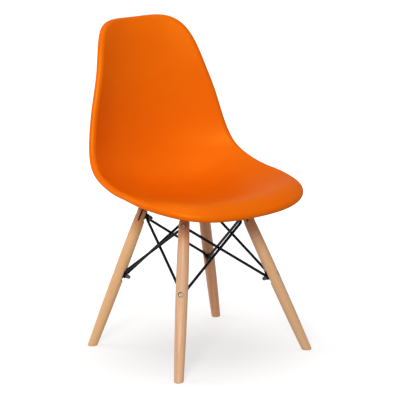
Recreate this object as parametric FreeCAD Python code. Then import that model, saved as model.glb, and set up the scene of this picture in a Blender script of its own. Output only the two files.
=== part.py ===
# Moulded plastic shell chair on four turned wooden legs braced by thin steel rods.
# Millimetres. +Z is up, the sitter faces -Y, and +X is at the sitter's left hand.
# The origin is on the floor, under the middle of the chair's bounding box.
import FreeCAD, Part
import math
import os

Vector = FreeCAD.Vector

# Shell, measured along its centre line from the front edge, over the seat and up to the top edge
SHELL_LENGTH = 815.0
FRONT_EDGE_Y = -250.2
FRONT_EDGE_Z = 419.0
SHELL_WALL = 4.5
# Slope of the centre line in degrees above the horizontal, at lengths along it
SLOPES = ((0, 3), (110, -11), (220, -4), (300, 5), (360, 18), (420, 43),
          (480, 69), (540, 85), (640, 90), (730, 81), (815, 66))
# Half width of the shell, measured to the crest of its rolled edge
HALF_WIDTHS = ((0, 240), (100, 233), (200, 222), (300, 214), (400, 206),
               (500, 194), (600, 175), (700, 150), (815, 137))
# Rise of the dished section, 100 mm away from the centre line
DISH_RISES = ((0, 3), (120, 6.7), (240, 10), (360, 14), (480, 16),
              (600, 17.5), (700, 19.6), (815, 20.7))
DISH_REACH = 100.0
# Rounding of the outline's front and top corners, and how far they fall back from the middle
FRONT_CORNER_POWER = 3.66
TOP_CORNER_POWER = 4.88
FRONT_CORNER_SETBACK = 24.0
TOP_CORNER_SETBACK = 9.0
SETBACK_POWER = 8
# The front edge bends down like a waterfall, less and less towards the back
FRONT_DROOP = 22.2
DROOP_WIDTH = 48.0
DROOP_POWER = 2.2
DROOP_REACH = 230.0
# The edge rolls outwards and down all round and ends in a rounded lip
EDGE_ROLL_RADIUS = 11.0
EDGE_ROLL_ANGLE = 105.0
EDGE_ROLL_STEPS = 7
LIP_STEPS = 4
RINGS = 16
EDGE_RINGS = (0.90625, 0.96875)
RAYS = 72
SECTORS = 4
CENTRE_STEP = 2.5
RUN_OUT = 50.0
OUTLINE_SAMPLES = 2880
FRAME_STEP = 0.004

# Bosses moulded under the seat, over the cross bars
BOSS_REACH = 70.0
BOSS_RADIUS = 15.0
BOSS_FACE_Z = 378.0
BOSS_BLANK = 60.0
PATCH_REACH = 24.0
PATCH_STEPS = 4
INSERT_RADIUS = 4.5
INSERT_LENGTH = 12.0
THREAD_CLEARANCE = 0.1
PAD_RADIUS = 13.0
PAD_THICKNESS = 2.0

# Base: the leg axes run from the foot square up to the leg tops
FOOT_REACH = 194.6
LEG_LEAN = 0.293
LEG_TOP_Z = 358.0
UPPER_JOINT_Z = 345.0
MIDDLE_JOINT_Z = 191.5
# Leg radius at heights above the floor, widest at two thirds of the way up
LEG_RADII = ((-20, 11.1), (0, 11.6), (90, 13.8), (190, 14.9), (250, 15.0), (310, 14.3), (358, 13.0))
LEG_EDGE_ROUNDING = 2.5
FOOT_EDGE_ROUNDING = 2.5
SLOT_END_Z = 331.0
SLOT_WIDTH = 4.2
CUT_REACH = 40.0

# Flat steel cross bars
BAR_WIDTH = 22.0
BAR_THICKNESS = 3.0
BAR_BEND_RADIUS = 8.0
BAR_STEP_REACH = 32.0
BAR_STEP_RUN = 8.0
BAR_STEP_RADIUS = 6.0
BLADE_END_GAP = 2.0

# Steel rods with flattened eyes
ROD_RADIUS = 3.5
EYE_RADIUS = 7.0
EYE_ARM_WIDTH = 9.0
EYE_THICKNESS = 3.0
EYE_CLEARANCE = 0.3
# Flat and round parts of a rod's arm along the leg, before its only bend: first for the rods next
# to the legs, then for the others, so that the two rods of a side pass clear of each other
TONGUE_LENGTHS = (11.0, 10.0)
ROUND_ARM_LENGTHS = (11.0, 0.0)
ROD_BEND_RADIUS = 8.0

# Fasteners
BOLT_RADIUS = 3.0
BOLT_HOLE_RADIUS = 3.3
BOLT_HEAD_RADIUS = 4.9
BOLT_HEAD_HEIGHT = 4.0
BOLT_EDGE_ROUNDING = 0.6
BOLT_END_GAP = 1.0
COUNTERBORE_RADIUS = 6.4
COUNTERBORE_FLOOR = 8.4
SOCKET_WIDTH = 4.0
SOCKET_DEPTH = 2.4
JOINT_FLAT = 11.0
FLAT_MARGIN = 7.0
JOINT_PLATE_WIDTH = 14.0
JOINT_PLATE_HEIGHT = 20.0
JOINT_PLATE_THICKNESS = 1.5
JOINT_PLATE_ROUNDING = 4.0
NUT_FACE = JOINT_FLAT + JOINT_PLATE_THICKNESS + 2 * EYE_THICKNESS
NUT_WIDTH = 10.0
NUT_CORNER_RADIUS = 5.6
NUT_HEIGHT = 5.0
CAP_RADIUS = 4.75
CAP_HEIGHT = 12.0
NUT_BORE_DEPTH = 9.0
WASHER_RADIUS = 6.5
WASHER_THICKNESS = 1.2
SCREW_HEAD_RADIUS = 5.4
SCREW_HEAD_HEIGHT = 3.2
SCREW_HEAD_ROUNDING = 1.9
SCREW_END_GAP = 1.0
EDGE_TOLERANCE = 0.01

# The base square stands this far behind the middle of the chair's bounding box
BASE_SHIFT_Y = 7.8

LEGS = {"front_right": (-1, -1), "front_left": (1, -1), "back_left": (1, 1), "back_right": (-1, 1)}


def smooth_value(stations, place):
    """Value at a place between hand-set stations, on a smooth curve through them."""
    place = min(max(place, stations[0][0]), stations[-1][0])
    last = len(stations) - 1
    index = 0
    while index < last - 1 and place > stations[index + 1][0]:
        index += 1

    def slope(station):
        before = stations[max(station - 1, 0)]
        after = stations[min(station + 1, last)]
        return (after[1] - before[1]) / (after[0] - before[0])

    (start, low), (end, high) = stations[index], stations[index + 1]
    span = end - start
    share = (place - start) / span
    rest = 1.0 - share
    value = (1 + 2 * share) * rest ** 2 * low + share ** 2 * (3 - 2 * share) * high
    value += span * share * rest ** 2 * slope(index)
    value -= span * share ** 2 * rest * slope(index + 1)
    return value


def centre_line():
    """Points of the shell's centre line every CENTRE_STEP, run on straight past both ends."""
    before = round(RUN_OUT / CENTRE_STEP)
    count = round(SHELL_LENGTH / CENTRE_STEP) + 2 * before
    points = [(0.0, 0.0)]
    for index in range(count):
        slope = math.radians(smooth_value(SLOPES, (index + 0.5 - before) * CENTRE_STEP))
        y, z = points[-1]
        points.append((y + CENTRE_STEP * math.cos(slope), z + CENTRE_STEP * math.sin(slope)))
    shift_y = FRONT_EDGE_Y - points[before][0]
    shift_z = FRONT_EDGE_Z - points[before][1]
    return [(y + shift_y, z + shift_z) for y, z in points]


CENTRE_POINTS = centre_line()


def sheet_point(length, side, droop=0.0):
    """Point of the sitter's surface: a length along the centre line and a distance to the side."""
    place = (length + RUN_OUT) / CENTRE_STEP
    index = min(max(int(place), 0), len(CENTRE_POINTS) - 2)
    part = place - index
    y0, z0 = CENTRE_POINTS[index]
    y1, z1 = CENTRE_POINTS[index + 1]
    slope = math.radians(smooth_value(SLOPES, length))
    rise = smooth_value(DISH_RISES, length) * (side / DISH_REACH) ** 2 - droop
    return Vector(side,
                  y0 + (y1 - y0) * part - math.sin(slope) * rise,
                  z0 + (z1 - z0) * part + math.cos(slope) * rise)


def outline_point(turn):
    """Length and side of the crest of the edge: turn 0 is the front middle, pi the top middle."""
    along = math.cos(turn)
    power = FRONT_CORNER_POWER if along > 0 else TOP_CORNER_POWER
    setback = FRONT_CORNER_SETBACK if along > 0 else -TOP_CORNER_SETBACK
    reach = abs(along) ** (2 / power)
    spread = abs(math.sin(turn)) ** (2 / power)
    length = SHELL_LENGTH / 2 * (1 - math.copysign(reach, along))
    side = smooth_value(HALF_WIDTHS, length) * math.copysign(spread, math.sin(turn))
    return length + setback * spread ** 2 * reach ** SETBACK_POWER, side


def outline_rays():
    """Crest points evenly spaced round the outline, from the front middle round by +X."""
    fine = [outline_point(2 * math.pi * index / OUTLINE_SAMPLES) for index in range(OUTLINE_SAMPLES + 1)]
    travelled = [0.0]
    for before, after in zip(fine, fine[1:]):
        travelled.append(travelled[-1] + math.dist(before, after))
    rays = []
    index = 0
    for ray in range(RAYS):
        goal = travelled[-1] * ray / RAYS
        while travelled[index + 1] < goal:
            index += 1
        part = (goal - travelled[index]) / (travelled[index + 1] - travelled[index])
        start, end = fine[index], fine[index + 1]
        rays.append(tuple(a + (b - a) * part for a, b in zip(start, end)))
    return rays


def ray_point(crest, share):
    """Point of the sitter's surface on the ray from the middle of the shell to a crest point."""
    middle = SHELL_LENGTH / 2
    inset = (1 - share) * math.hypot(crest[0] - middle, crest[1])
    front = min(max(crest[0] / DROOP_REACH, 0), 1)
    front = 1 - front * front * (3 - 2 * front)
    droop = FRONT_DROOP * front * max(0.0, 1 - inset / DROOP_WIDTH) ** DROOP_POWER
    return sheet_point(middle + (crest[0] - middle) * share, crest[1] * share, droop)


def ring_frames(rays, share):
    """Point, outward direction and upward normal of every ray at one share of its length."""
    points = [ray_point(crest, share) for crest in rays]
    frames = []
    for index, crest in enumerate(rays):
        along = points[(index + 1) % len(rays)] - points[index - 1]
        along.normalize()
        outward = ray_point(crest, share + FRAME_STEP) - ray_point(crest, share - FRAME_STEP)
        outward = outward - along * along.dot(outward)
        outward.normalize()
        frames.append((points[index], outward, outward.cross(along)))
    return frames


def shell_rings(rays):
    """Rings of points from the middle, over the rolled edge, and back under the shell."""
    shares = sorted([(ring + 1) / RINGS for ring in range(RINGS)] + list(EDGE_RINGS))
    frames = [ring_frames(rays, share) for share in shares]
    upper = [[point for point, _, _ in ring] for ring in frames]
    under = [[point - normal * SHELL_WALL for point, _, normal in ring] for ring in frames]
    crest = frames[-1]

    def rolled(angle, depth):
        turn = math.radians(angle)
        reach = EDGE_ROLL_RADIUS - depth
        return [point + outward * (reach * math.sin(turn))
                - normal * (EDGE_ROLL_RADIUS - reach * math.cos(turn))
                for point, outward, normal in crest]

    angles = [EDGE_ROLL_ANGLE * (step + 1) / EDGE_ROLL_STEPS for step in range(EDGE_ROLL_STEPS)]
    outer = [rolled(angle, 0.0) for angle in angles]
    inner = [rolled(angle, SHELL_WALL) for angle in reversed(angles)]
    half_wall = SHELL_WALL / 2
    lip = []
    for step in range(1, LIP_STEPS):
        turn = math.pi * step / LIP_STEPS
        beyond = math.degrees(half_wall * math.sin(turn) / (EDGE_ROLL_RADIUS - half_wall))
        lip.append(rolled(EDGE_ROLL_ANGLE + beyond, half_wall * (1 - math.cos(turn))))
    return upper + outer + lip + inner + under[::-1]


def fitted(points, places, closed):
    """B-spline curve through points at given parameters."""
    curve = Part.BSplineCurve()
    curve.interpolate(Points=points, PeriodicFlag=closed, Parameters=places)
    return curve


def ring_surface(rings, first, last):
    """Closed surface through rings of points, gathered in one point at both ends."""
    turns = [index / RAYS for index in range(RAYS + 1)]
    curves = [fitted(ring, turns, True) for ring in rings]
    rows = [curve.getPoles() for curve in curves]
    rows = [[first] * len(rows[0])] + rows + [[last] * len(rows[0])]
    places = [0.0]
    track = [first] + [ring[RAYS // 4] for ring in rings] + [last]
    for before, after in zip(track, track[1:]):
        places.append(places[-1] + before.distanceToPoint(after))
    columns = [fitted(list(column), places, False) for column in zip(*rows)]
    ring, column = curves[0], columns[0]
    surface = Part.BSplineSurface()
    surface.buildFromPolesMultsKnots([column.getPoles() for column in columns],
                                     ring.getMultiplicities(), column.getMultiplicities(),
                                     ring.getKnots(), column.getKnots(),
                                     True, False, ring.Degree, column.Degree)
    return surface


def shell_skin():
    """Solid of the bare shell, without its bosses."""
    middle = SHELL_LENGTH / 2
    first = sheet_point(middle, 0.0)
    slope = math.radians(smooth_value(SLOPES, middle))
    last = first - Vector(0, -math.sin(slope), math.cos(slope)) * SHELL_WALL
    surface = ring_surface(shell_rings(outline_rays()), first, last)
    _, _, low, high = surface.bounds()
    knots = surface.getVKnots()
    cuts = [low, knots[len(knots) // 3], knots[2 * len(knots) // 3], high]
    faces = []
    for sector in range(SECTORS):
        for start, end in zip(cuts, cuts[1:]):
            patch = surface.copy()
            patch.segment(sector / SECTORS, (sector + 1) / SECTORS, start, end)
            faces.append(patch.toShape())
    shell = Part.makeShell(faces)
    shell.sewShape()
    return Part.Solid(shell)


def seat_patch(depth, centre_x, centre_y):
    """Face that lies a depth under the sitter's surface, around one boss."""
    start = nearest_length(centre_y)
    places = [PATCH_REACH * (2 * step / PATCH_STEPS - 1) for step in range(PATCH_STEPS + 1)]
    grid = []
    for side in [centre_x + place for place in places]:
        line = []
        for length in [start + place for place in places]:
            point = sheet_point(length, side)
            along = sheet_point(length + 1, side) - sheet_point(length - 1, side)
            across = sheet_point(length, side + 1) - sheet_point(length, side - 1)
            normal = across.cross(along)
            normal.normalize()
            line.append(point - normal * depth)
        grid.append(line)
    surface = Part.BSplineSurface()
    surface.interpolate(grid)
    return surface.toShape()


def nearest_length(goal_y):
    """Length along the seat at which the centre line reaches a place in Y."""
    length = 0.0
    while sheet_point(length, 0.0).y < goal_y:
        length += CENTRE_STEP
    return length


def cylinder(radius, start, end):
    """Cylinder between two points."""
    axis = end - start
    return Part.makeCylinder(radius, axis.Length, start, axis)


def hexagon(width, start, end):
    """Six-sided prism between two points, with its width across flats."""
    axis = end - start
    corner = width / math.sqrt(3)
    points = [Vector(corner * math.cos(math.pi * turn / 3), corner * math.sin(math.pi * turn / 3), 0)
              for turn in range(6)]
    prism = Part.Face(Part.makePolygon(points + points[:1])).extrude(Vector(0, 0, axis.Length))
    prism.Placement = FreeCAD.Placement(start, FreeCAD.Rotation(Vector(0, 0, 1), axis))
    return prism


def boss_centres():
    """Middle of the lower face of the four seat bosses, leg by leg."""
    return [Vector(sx * BOSS_REACH, sy * BOSS_REACH + BASE_SHIFT_Y, BOSS_FACE_Z)
            for sx, sy in LEGS.values()]


def seat_shell():
    """Moulded shell with four bosses under the seat, bored for the inserts."""
    shell = shell_skin()
    bores = []
    for centre in boss_centres():
        boss = cylinder(BOSS_RADIUS, centre, lifted(centre, BOSS_BLANK))
        under = seat_patch(SHELL_WALL / 2, centre.x, centre.y).extrude(Vector(0, 0, -BOSS_BLANK))
        shell = shell.fuse(boss.common(under))
        bores.append(cylinder(INSERT_RADIUS + THREAD_CLEARANCE, centre,
                              lifted(centre, INSERT_LENGTH)))
    return shell.cut(bores)


def ring_solid(outer, inner, start, end):
    """Cylinder between two points with a hole along its axis."""
    return cylinder(outer, start, end).cut(cylinder(inner, start, end))


def lifted(point, height):
    """Point moved up by a height."""
    return point + Vector(0, 0, height)


def boss_inserts():
    """Threaded brass inserts in the bosses."""
    bore = BOLT_RADIUS + THREAD_CLEARANCE
    return [ring_solid(INSERT_RADIUS, bore, centre, lifted(centre, INSERT_LENGTH))
            for centre in boss_centres()]


def seat_pads():
    """Rubber pads between the bosses and the cross bars."""
    return [ring_solid(PAD_RADIUS, BOLT_HOLE_RADIUS, lifted(centre, -PAD_THICKNESS), centre)
            for centre in boss_centres()]


def seat_screw_washers():
    """Washers under the heads of the seat screws."""
    down = PAD_THICKNESS + BAR_THICKNESS
    return [ring_solid(WASHER_RADIUS, BOLT_HOLE_RADIUS, lifted(centre, -down - WASHER_THICKNESS),
                       lifted(centre, -down))
            for centre in boss_centres()]


def seat_screws():
    """Button-head screws that hold the seat to the cross bars from below."""
    down = PAD_THICKNESS + BAR_THICKNESS + WASHER_THICKNESS
    screws = []
    for centre in boss_centres():
        under_head = lifted(centre, -down)
        low = lifted(under_head, -SCREW_HEAD_HEIGHT)
        shank = cylinder(BOLT_RADIUS, low, lifted(centre, INSERT_LENGTH - SCREW_END_GAP))
        head = cylinder(SCREW_HEAD_RADIUS, low, under_head)
        rim = [edge for edge in head.Edges if edge.BoundBox.ZMax < low.z + EDGE_TOLERANCE]
        head = head.makeFillet(SCREW_HEAD_ROUNDING, rim)
        socket = hexagon(SOCKET_WIDTH, low, lifted(low, SOCKET_DEPTH))
        screws.append(head.fuse(shank).cut(socket).removeSplitter())
    return screws


class Leg:
    """Axis and directions of one leg."""

    def __init__(self, sx, sy):
        self.radial = Vector(sx, sy, 0)
        self.radial.normalize()
        self.foot = Vector(sx * FOOT_REACH, sy * FOOT_REACH + BASE_SHIFT_Y, 0)
        self.up = Vector(-sx * LEG_LEAN, -sy * LEG_LEAN, 1)
        self.up.normalize()
        self.across = Vector(0, 0, 1).cross(self.radial)
        self.outward = self.across.cross(self.up)

    def at(self, height):
        """Point of the axis at a height above the floor."""
        return self.foot + self.up * (height / self.up.z)

    def joint(self, height, reach):
        """Point at a joint's height, a reach inwards from the axis, square to the leg."""
        return self.at(height) - self.outward * reach

    def placed(self, shape, origin):
        """Copy of a shape drawn with Z up the leg and X outwards, put at a point of the axis."""
        matrix = FreeCAD.Matrix(self.outward.x, self.across.x, self.up.x, origin.x,
                                self.outward.y, self.across.y, self.up.y, origin.y,
                                self.outward.z, self.across.z, self.up.z, origin.z,
                                0, 0, 0, 1)
        moved = shape.copy()
        moved.Placement = FreeCAD.Placement(matrix)
        return moved


def leg_blank():
    """Turned leg round the Z axis, run on past its foot so that the floor can cut it."""
    outline = [Vector(radius, 0, height * math.sqrt(1 + 2 * LEG_LEAN ** 2)) for height, radius in LEG_RADII]
    below, top = outline[0].z, outline[-1].z
    rim = LEG_RADII[-1][1]
    outline[-1] = Vector(rim, 0, top - LEG_EDGE_ROUNDING)
    side = Part.BSplineCurve()
    side.interpolate(outline)
    corner = LEG_EDGE_ROUNDING * (1 - math.sqrt(0.5))
    round_middle = Vector(rim - corner, 0, top - corner)
    top_corner = Vector(rim - LEG_EDGE_ROUNDING, 0, top)
    rounding = Part.Arc(outline[-1], round_middle, top_corner)
    edges = [Part.makeLine(Vector(0, 0, below), outline[0]), side.toShape(), rounding.toShape(),
             Part.makeLine(top_corner, Vector(0, 0, top)),
             Part.makeLine(Vector(0, 0, top), Vector(0, 0, below))]
    return Part.Face(Part.Wire(edges)).revolve(Vector(0, 0, 0), Vector(0, 0, 1), 360)


def make_leg(leg):
    """Turned leg with its slot, bolt holes, counterbores and flats, cut off at the floor."""
    solid = leg.placed(leg_blank(), leg.foot)
    reach = CUT_REACH
    solid = solid.cut(Part.makeBox(2 * reach, 2 * reach, reach, leg.foot - Vector(reach, reach, reach)))
    foot_edges = [edge for edge in solid.Edges if edge.BoundBox.ZMax < EDGE_TOLERANCE]
    solid = solid.makeFillet(FOOT_EDGE_ROUNDING, foot_edges)
    slot_height = (LEG_TOP_Z - SLOT_END_Z) / leg.up.z + reach
    cuts = [leg.placed(Part.makeBox(SLOT_WIDTH, 2 * reach, slot_height,
                                    Vector(-SLOT_WIDTH / 2, -reach, 0)), leg.at(SLOT_END_Z))]
    half_height = JOINT_PLATE_HEIGHT / 2 + FLAT_MARGIN
    for height in (UPPER_JOINT_Z, MIDDLE_JOINT_Z):
        cuts.append(cylinder(BOLT_HOLE_RADIUS, leg.joint(height, reach), leg.joint(height, -reach)))
        cuts.append(cylinder(COUNTERBORE_RADIUS, leg.joint(height, -COUNTERBORE_FLOOR),
                             leg.joint(height, -reach)))
        flat = Part.makeBox(reach, reach, 2 * half_height,
                            Vector(-JOINT_FLAT - reach, -reach / 2, -half_height))
        cuts.append(leg.placed(flat, leg.at(height)))
    return solid.cut(cuts)


def offset_side(points, radii, offset):
    """Edges beside a bent line in a plane (x along, y up), with round corners about its own."""
    directions = []
    for before, after in zip(points, points[1:]):
        direction = after - before
        direction.normalize()
        directions.append(direction)
    normals = [Vector(-direction.y, direction.x, 0) for direction in directions]
    place = points[0] + normals[0] * offset
    edges = []
    for index, radius in enumerate(radii):
        corner = points[index + 1]
        before, after = directions[index], directions[index + 1]
        side = math.copysign(1.0, before.cross(after).z)
        tangent = radius * math.tan(before.getAngle(after) / 2)
        start = corner - before * tangent
        end = corner + after * tangent
        centre = start + normals[index] * (side * radius)
        outwards = corner - centre
        outwards.normalize()
        arc_start = start + normals[index] * offset
        arc_middle = centre + outwards * (radius - side * offset)
        arc_end = end + normals[index + 1] * offset
        edges.append(Part.makeLine(place, arc_start))
        edges.append(Part.Arc(arc_start, arc_middle, arc_end).toShape())
        place = arc_end
    edges.append(Part.makeLine(place, points[-1] + normals[-1] * offset))
    return edges


def bent_strip(points, radii, thickness, width):
    """Flat strip bent along a line of points at one height, extruded upwards by its width."""
    left = offset_side(points, radii, thickness / 2)
    right = offset_side(points, radii, -thickness / 2)
    caps = [Part.makeLine(left[index].Vertexes[-index].Point, right[index].Vertexes[-index].Point)
            for index in (0, -1)]
    outline = Part.Wire(Part.__sortEdges__(left + right + caps))
    return Part.Face(outline).extrude(Vector(0, 0, width))


def cross_bar(first, second, step):
    """Flat bar between two opposite legs, with its ends bent down as blades for the leg slots.

    A bar with a step is raised by that much in the middle, to pass over the other bar.
    """
    level = BOSS_FACE_Z - PAD_THICKNESS - BAR_THICKNESS / 2
    middle = Vector(0, BASE_SHIFT_Y, 0)
    corner = second.radial.dot(second.at(level) - middle)
    blade_end = SLOT_END_Z + BLADE_END_GAP
    end = second.radial.dot(second.at(blade_end) - middle)
    low = -BAR_WIDTH / 2
    half = [Vector(corner, level, low), Vector(end, blade_end, low)]
    radii = [BAR_BEND_RADIUS]
    if step:
        half = [Vector(BAR_STEP_REACH - BAR_STEP_RUN, level + step, low),
                Vector(BAR_STEP_REACH, level, low)] + half
        radii = [BAR_STEP_RADIUS, BAR_STEP_RADIUS] + radii
    mirrored = [Vector(-point.x, point.y, low) for point in reversed(half)]
    strip = bent_strip(mirrored + half, radii[::-1] + radii, BAR_THICKNESS, BAR_WIDTH)
    across = second.radial.cross(Vector(0, 0, 1))
    matrix = FreeCAD.Matrix(second.radial.x, 0, across.x, middle.x,
                            second.radial.y, 0, across.y, middle.y,
                            0, 1, 0, 0,
                            0, 0, 0, 1)
    strip.Placement = FreeCAD.Placement(matrix)
    holes = []
    for leg in (first, second):
        holes.append(cylinder(BOLT_HOLE_RADIUS, leg.joint(UPPER_JOINT_Z, BAR_WIDTH),
                              leg.joint(UPPER_JOINT_Z, -BAR_WIDTH)))
        screw = middle + leg.radial * (BOSS_REACH * math.sqrt(2))
        holes.append(cylinder(BOLT_HOLE_RADIUS, screw, lifted(screw, BOSS_FACE_Z)))
    return strip.cut(holes)


def round_path(points, radius):
    """Wire of straight runs joined by tangent arcs."""
    edges = []
    place = points[0]
    for before, corner, after in zip(points, points[1:], points[2:]):
        inward = before - corner
        inward.normalize()
        onward = after - corner
        onward.normalize()
        half_turn = (math.pi - inward.getAngle(onward)) / 2
        tangent = radius * math.tan(half_turn)
        start = corner + inward * tangent
        end = corner + onward * tangent
        bisector = inward + onward
        bisector.normalize()
        middle = corner + bisector * (radius / math.cos(half_turn) - radius)
        edges.append(Part.makeLine(place, start))
        edges.append(Part.Arc(start, middle, end).toShape())
        place = end
    edges.append(Part.makeLine(place, points[-1]))
    return Part.Wire(edges)


def rod_end(leg, height, layer, towards):
    """Flattened eye of a rod at a joint, its tongue's end, its arm's direction and its bolt hole."""
    near = JOINT_FLAT + JOINT_PLATE_THICKNESS + layer * EYE_THICKNESS
    low = leg.joint(height, near)
    high = leg.joint(height, near + EYE_THICKNESS)
    arm = towards - leg.outward * towards.dot(leg.outward)
    arm.normalize()
    beside = leg.outward.cross(arm)
    corner = low - beside * (EYE_ARM_WIDTH / 2)
    points = [corner, corner + arm * TONGUE_LENGTHS[layer]]
    points += [point + beside * EYE_ARM_WIDTH for point in reversed(points)]
    tongue = Part.Face(Part.makePolygon(points + points[:1])).extrude(high - low)
    eye = cylinder(EYE_RADIUS, low, high).fuse(tongue)
    knuckle = leg.joint(height, near + ROD_RADIUS + EYE_CLEARANCE)
    hole = cylinder(BOLT_HOLE_RADIUS, leg.joint(height, 0), leg.joint(height, 2 * near))
    return eye, knuckle + arm * TONGUE_LENGTHS[layer], arm, hole


def brace_rod(upper, lower, layer):
    """Steel rod from the upper joint of one leg to the middle joint of its neighbour."""
    start = upper.joint(UPPER_JOINT_Z, JOINT_FLAT)
    end = lower.joint(MIDDLE_JOINT_Z, JOINT_FLAT)
    direction = end - start
    direction.normalize()
    upper_eye, upper_tip, upper_arm, upper_hole = rod_end(upper, UPPER_JOINT_Z, layer, direction)
    lower_eye, lower_tip, lower_arm, lower_hole = rod_end(lower, MIDDLE_JOINT_Z, layer, -direction)
    run = ROUND_ARM_LENGTHS[layer]
    bends = [upper_tip + upper_arm * run, lower_tip + lower_arm * run] if run else []
    points = [upper_tip] + bends + [lower_tip]
    path = round_path(points, ROD_BEND_RADIUS)
    section = Part.Wire(Part.makeCircle(ROD_RADIUS, upper_tip, points[1] - upper_tip))
    rod = path.makePipeShell([section], True, False)
    for tip in (upper_tip, lower_tip):
        rod = rod.fuse(Part.makeSphere(ROD_RADIUS, tip))
    return rod.fuse([upper_eye, lower_eye]).cut([upper_hole, lower_hole])


def joint_plate(leg, height):
    """Small backing plate between the flat on a leg and the rod eyes."""
    half_width, half_height = JOINT_PLATE_WIDTH / 2, JOINT_PLATE_HEIGHT / 2
    plate = Part.makeBox(JOINT_PLATE_THICKNESS, JOINT_PLATE_WIDTH, JOINT_PLATE_HEIGHT,
                         Vector(-JOINT_FLAT - JOINT_PLATE_THICKNESS, -half_width, -half_height))
    plate = plate.makeFillet(JOINT_PLATE_ROUNDING, [edge for edge in plate.Edges
                                                    if edge.BoundBox.XLength > EDGE_TOLERANCE])
    hole = cylinder(BOLT_HOLE_RADIUS, Vector(-2 * JOINT_FLAT, 0, 0), Vector(0, 0, 0))
    return leg.placed(plate.cut(hole), leg.at(height))


def leg_bolt(leg, height):
    """Socket-head bolt sunk in the outer face of a leg."""
    floor = leg.joint(height, -COUNTERBORE_FLOOR)
    top = leg.joint(height, -COUNTERBORE_FLOOR - BOLT_HEAD_HEIGHT)
    end = leg.joint(height, NUT_FACE + NUT_BORE_DEPTH - BOLT_END_GAP)
    head = cylinder(BOLT_HEAD_RADIUS, floor, top)
    rim = [edge for edge in head.Edges if edge.Length > BOLT_HEAD_RADIUS
           and edge.CenterOfMass.distanceToPoint(top) < EDGE_TOLERANCE]
    head = head.makeFillet(BOLT_EDGE_ROUNDING, rim)
    shank = cylinder(BOLT_RADIUS, floor, end)
    inwards = leg.joint(height, SOCKET_DEPTH - COUNTERBORE_FLOOR - BOLT_HEAD_HEIGHT)
    return head.fuse(shank).removeSplitter().cut(hexagon(SOCKET_WIDTH, inwards, top))


def cap_nut(leg, height):
    """Domed nut over the end of a leg bolt, on the inner face of the leg."""
    face = leg.joint(height, NUT_FACE)
    top = leg.joint(height, NUT_FACE + NUT_HEIGHT)
    blank = hexagon(NUT_WIDTH, face, top).common(cylinder(NUT_CORNER_RADIUS, face, top))
    crown = leg.joint(height, NUT_FACE + CAP_HEIGHT - CAP_RADIUS)
    cap = cylinder(CAP_RADIUS, face, crown).fuse(Part.makeSphere(CAP_RADIUS, crown))
    bore = cylinder(BOLT_RADIUS + THREAD_CLEARANCE, face, leg.joint(height, NUT_FACE + NUT_BORE_DEPTH))
    return blank.fuse(cap).removeSplitter().cut(bore)


def build():
    """Shapes of every node, by name."""
    legs = {name: Leg(sx, sy) for name, (sx, sy) in LEGS.items()}
    nodes = {"seat_shell": seat_shell()}
    for name, leg in legs.items():
        nodes[name + "_leg"] = make_leg(leg)
    nodes["lower_cross_bar"] = cross_bar(legs["front_right"], legs["back_left"], 0.0)
    nodes["upper_cross_bar"] = cross_bar(legs["front_left"], legs["back_right"], BAR_THICKNESS)
    for side, start, end in (("front", "front_right", "front_left"), ("left", "front_left", "back_left"),
                             ("back", "back_left", "back_right"), ("right", "back_right", "front_right")):
        nodes[side + "_outer_rod"] = brace_rod(legs[end], legs[start], 0)
        nodes[side + "_inner_rod"] = brace_rod(legs[start], legs[end], 1)
    groups = {"boss_inserts": boss_inserts(), "seat_pads": seat_pads(),
              "seat_screw_washers": seat_screw_washers(), "seat_screws": seat_screws()}
    for place, height in (("upper", UPPER_JOINT_Z), ("middle", MIDDLE_JOINT_Z)):
        groups[place + "_joint_plates"] = [joint_plate(leg, height) for leg in legs.values()]
        groups[place + "_leg_bolts"] = [leg_bolt(leg, height) for leg in legs.values()]
        groups[place + "_cap_nuts"] = [cap_nut(leg, height) for leg in legs.values()]
    nodes.update({name: Part.makeCompound(solids) for name, solids in groups.items()})
    return nodes


os.makedirs("parts", exist_ok=True)
for node_name, shape in build().items():
    print(node_name, len(shape.Solids), shape.isValid(), round(shape.Volume))
    shape.exportStep("parts/" + node_name + ".step")
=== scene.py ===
"""Moulded plastic shell chair on four turned beech legs braced by black steel rods."""
import logging
import math
from dataclasses import dataclass, field, replace
from enum import Enum
from functools import cached_property
from typing import Any, Callable, Iterable, Sequence

import bmesh
import bpy
import numpy as np
from mathutils import Matrix


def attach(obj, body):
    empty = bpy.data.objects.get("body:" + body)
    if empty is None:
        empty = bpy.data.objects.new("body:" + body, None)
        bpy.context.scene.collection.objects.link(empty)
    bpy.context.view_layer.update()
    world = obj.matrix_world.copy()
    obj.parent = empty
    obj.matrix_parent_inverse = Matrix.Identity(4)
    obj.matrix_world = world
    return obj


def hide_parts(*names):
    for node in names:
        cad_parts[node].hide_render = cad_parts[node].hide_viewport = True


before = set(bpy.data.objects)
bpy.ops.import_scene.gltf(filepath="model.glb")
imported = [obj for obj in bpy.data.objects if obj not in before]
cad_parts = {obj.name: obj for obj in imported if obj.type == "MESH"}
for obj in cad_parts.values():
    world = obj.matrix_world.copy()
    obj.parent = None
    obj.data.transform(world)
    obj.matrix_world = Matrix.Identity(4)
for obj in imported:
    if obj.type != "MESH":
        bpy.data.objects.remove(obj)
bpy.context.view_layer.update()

MM = 0.001
NOISE_SPAN = (0.3, 0.7)  # nearly all of what a noise pattern gives lies in it
Span = tuple[float, float]
Stations = Sequence[Span]
Loops = list[np.ndarray]
Tree = bpy.types.NodeTree
Socket = bpy.types.NodeSocket
Object = bpy.types.Object
LOG = logging.getLogger("chair")


class Slot(Enum):
    """The record's material slots."""

    SHELL = "shell_plastic"
    WOOD = "leg_wood"
    BLACK_STEEL = "black_steel"
    ZINC = "zinc_steel"
    BRASS = "insert_brass"
    RUBBER = "pad_rubber"


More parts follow.
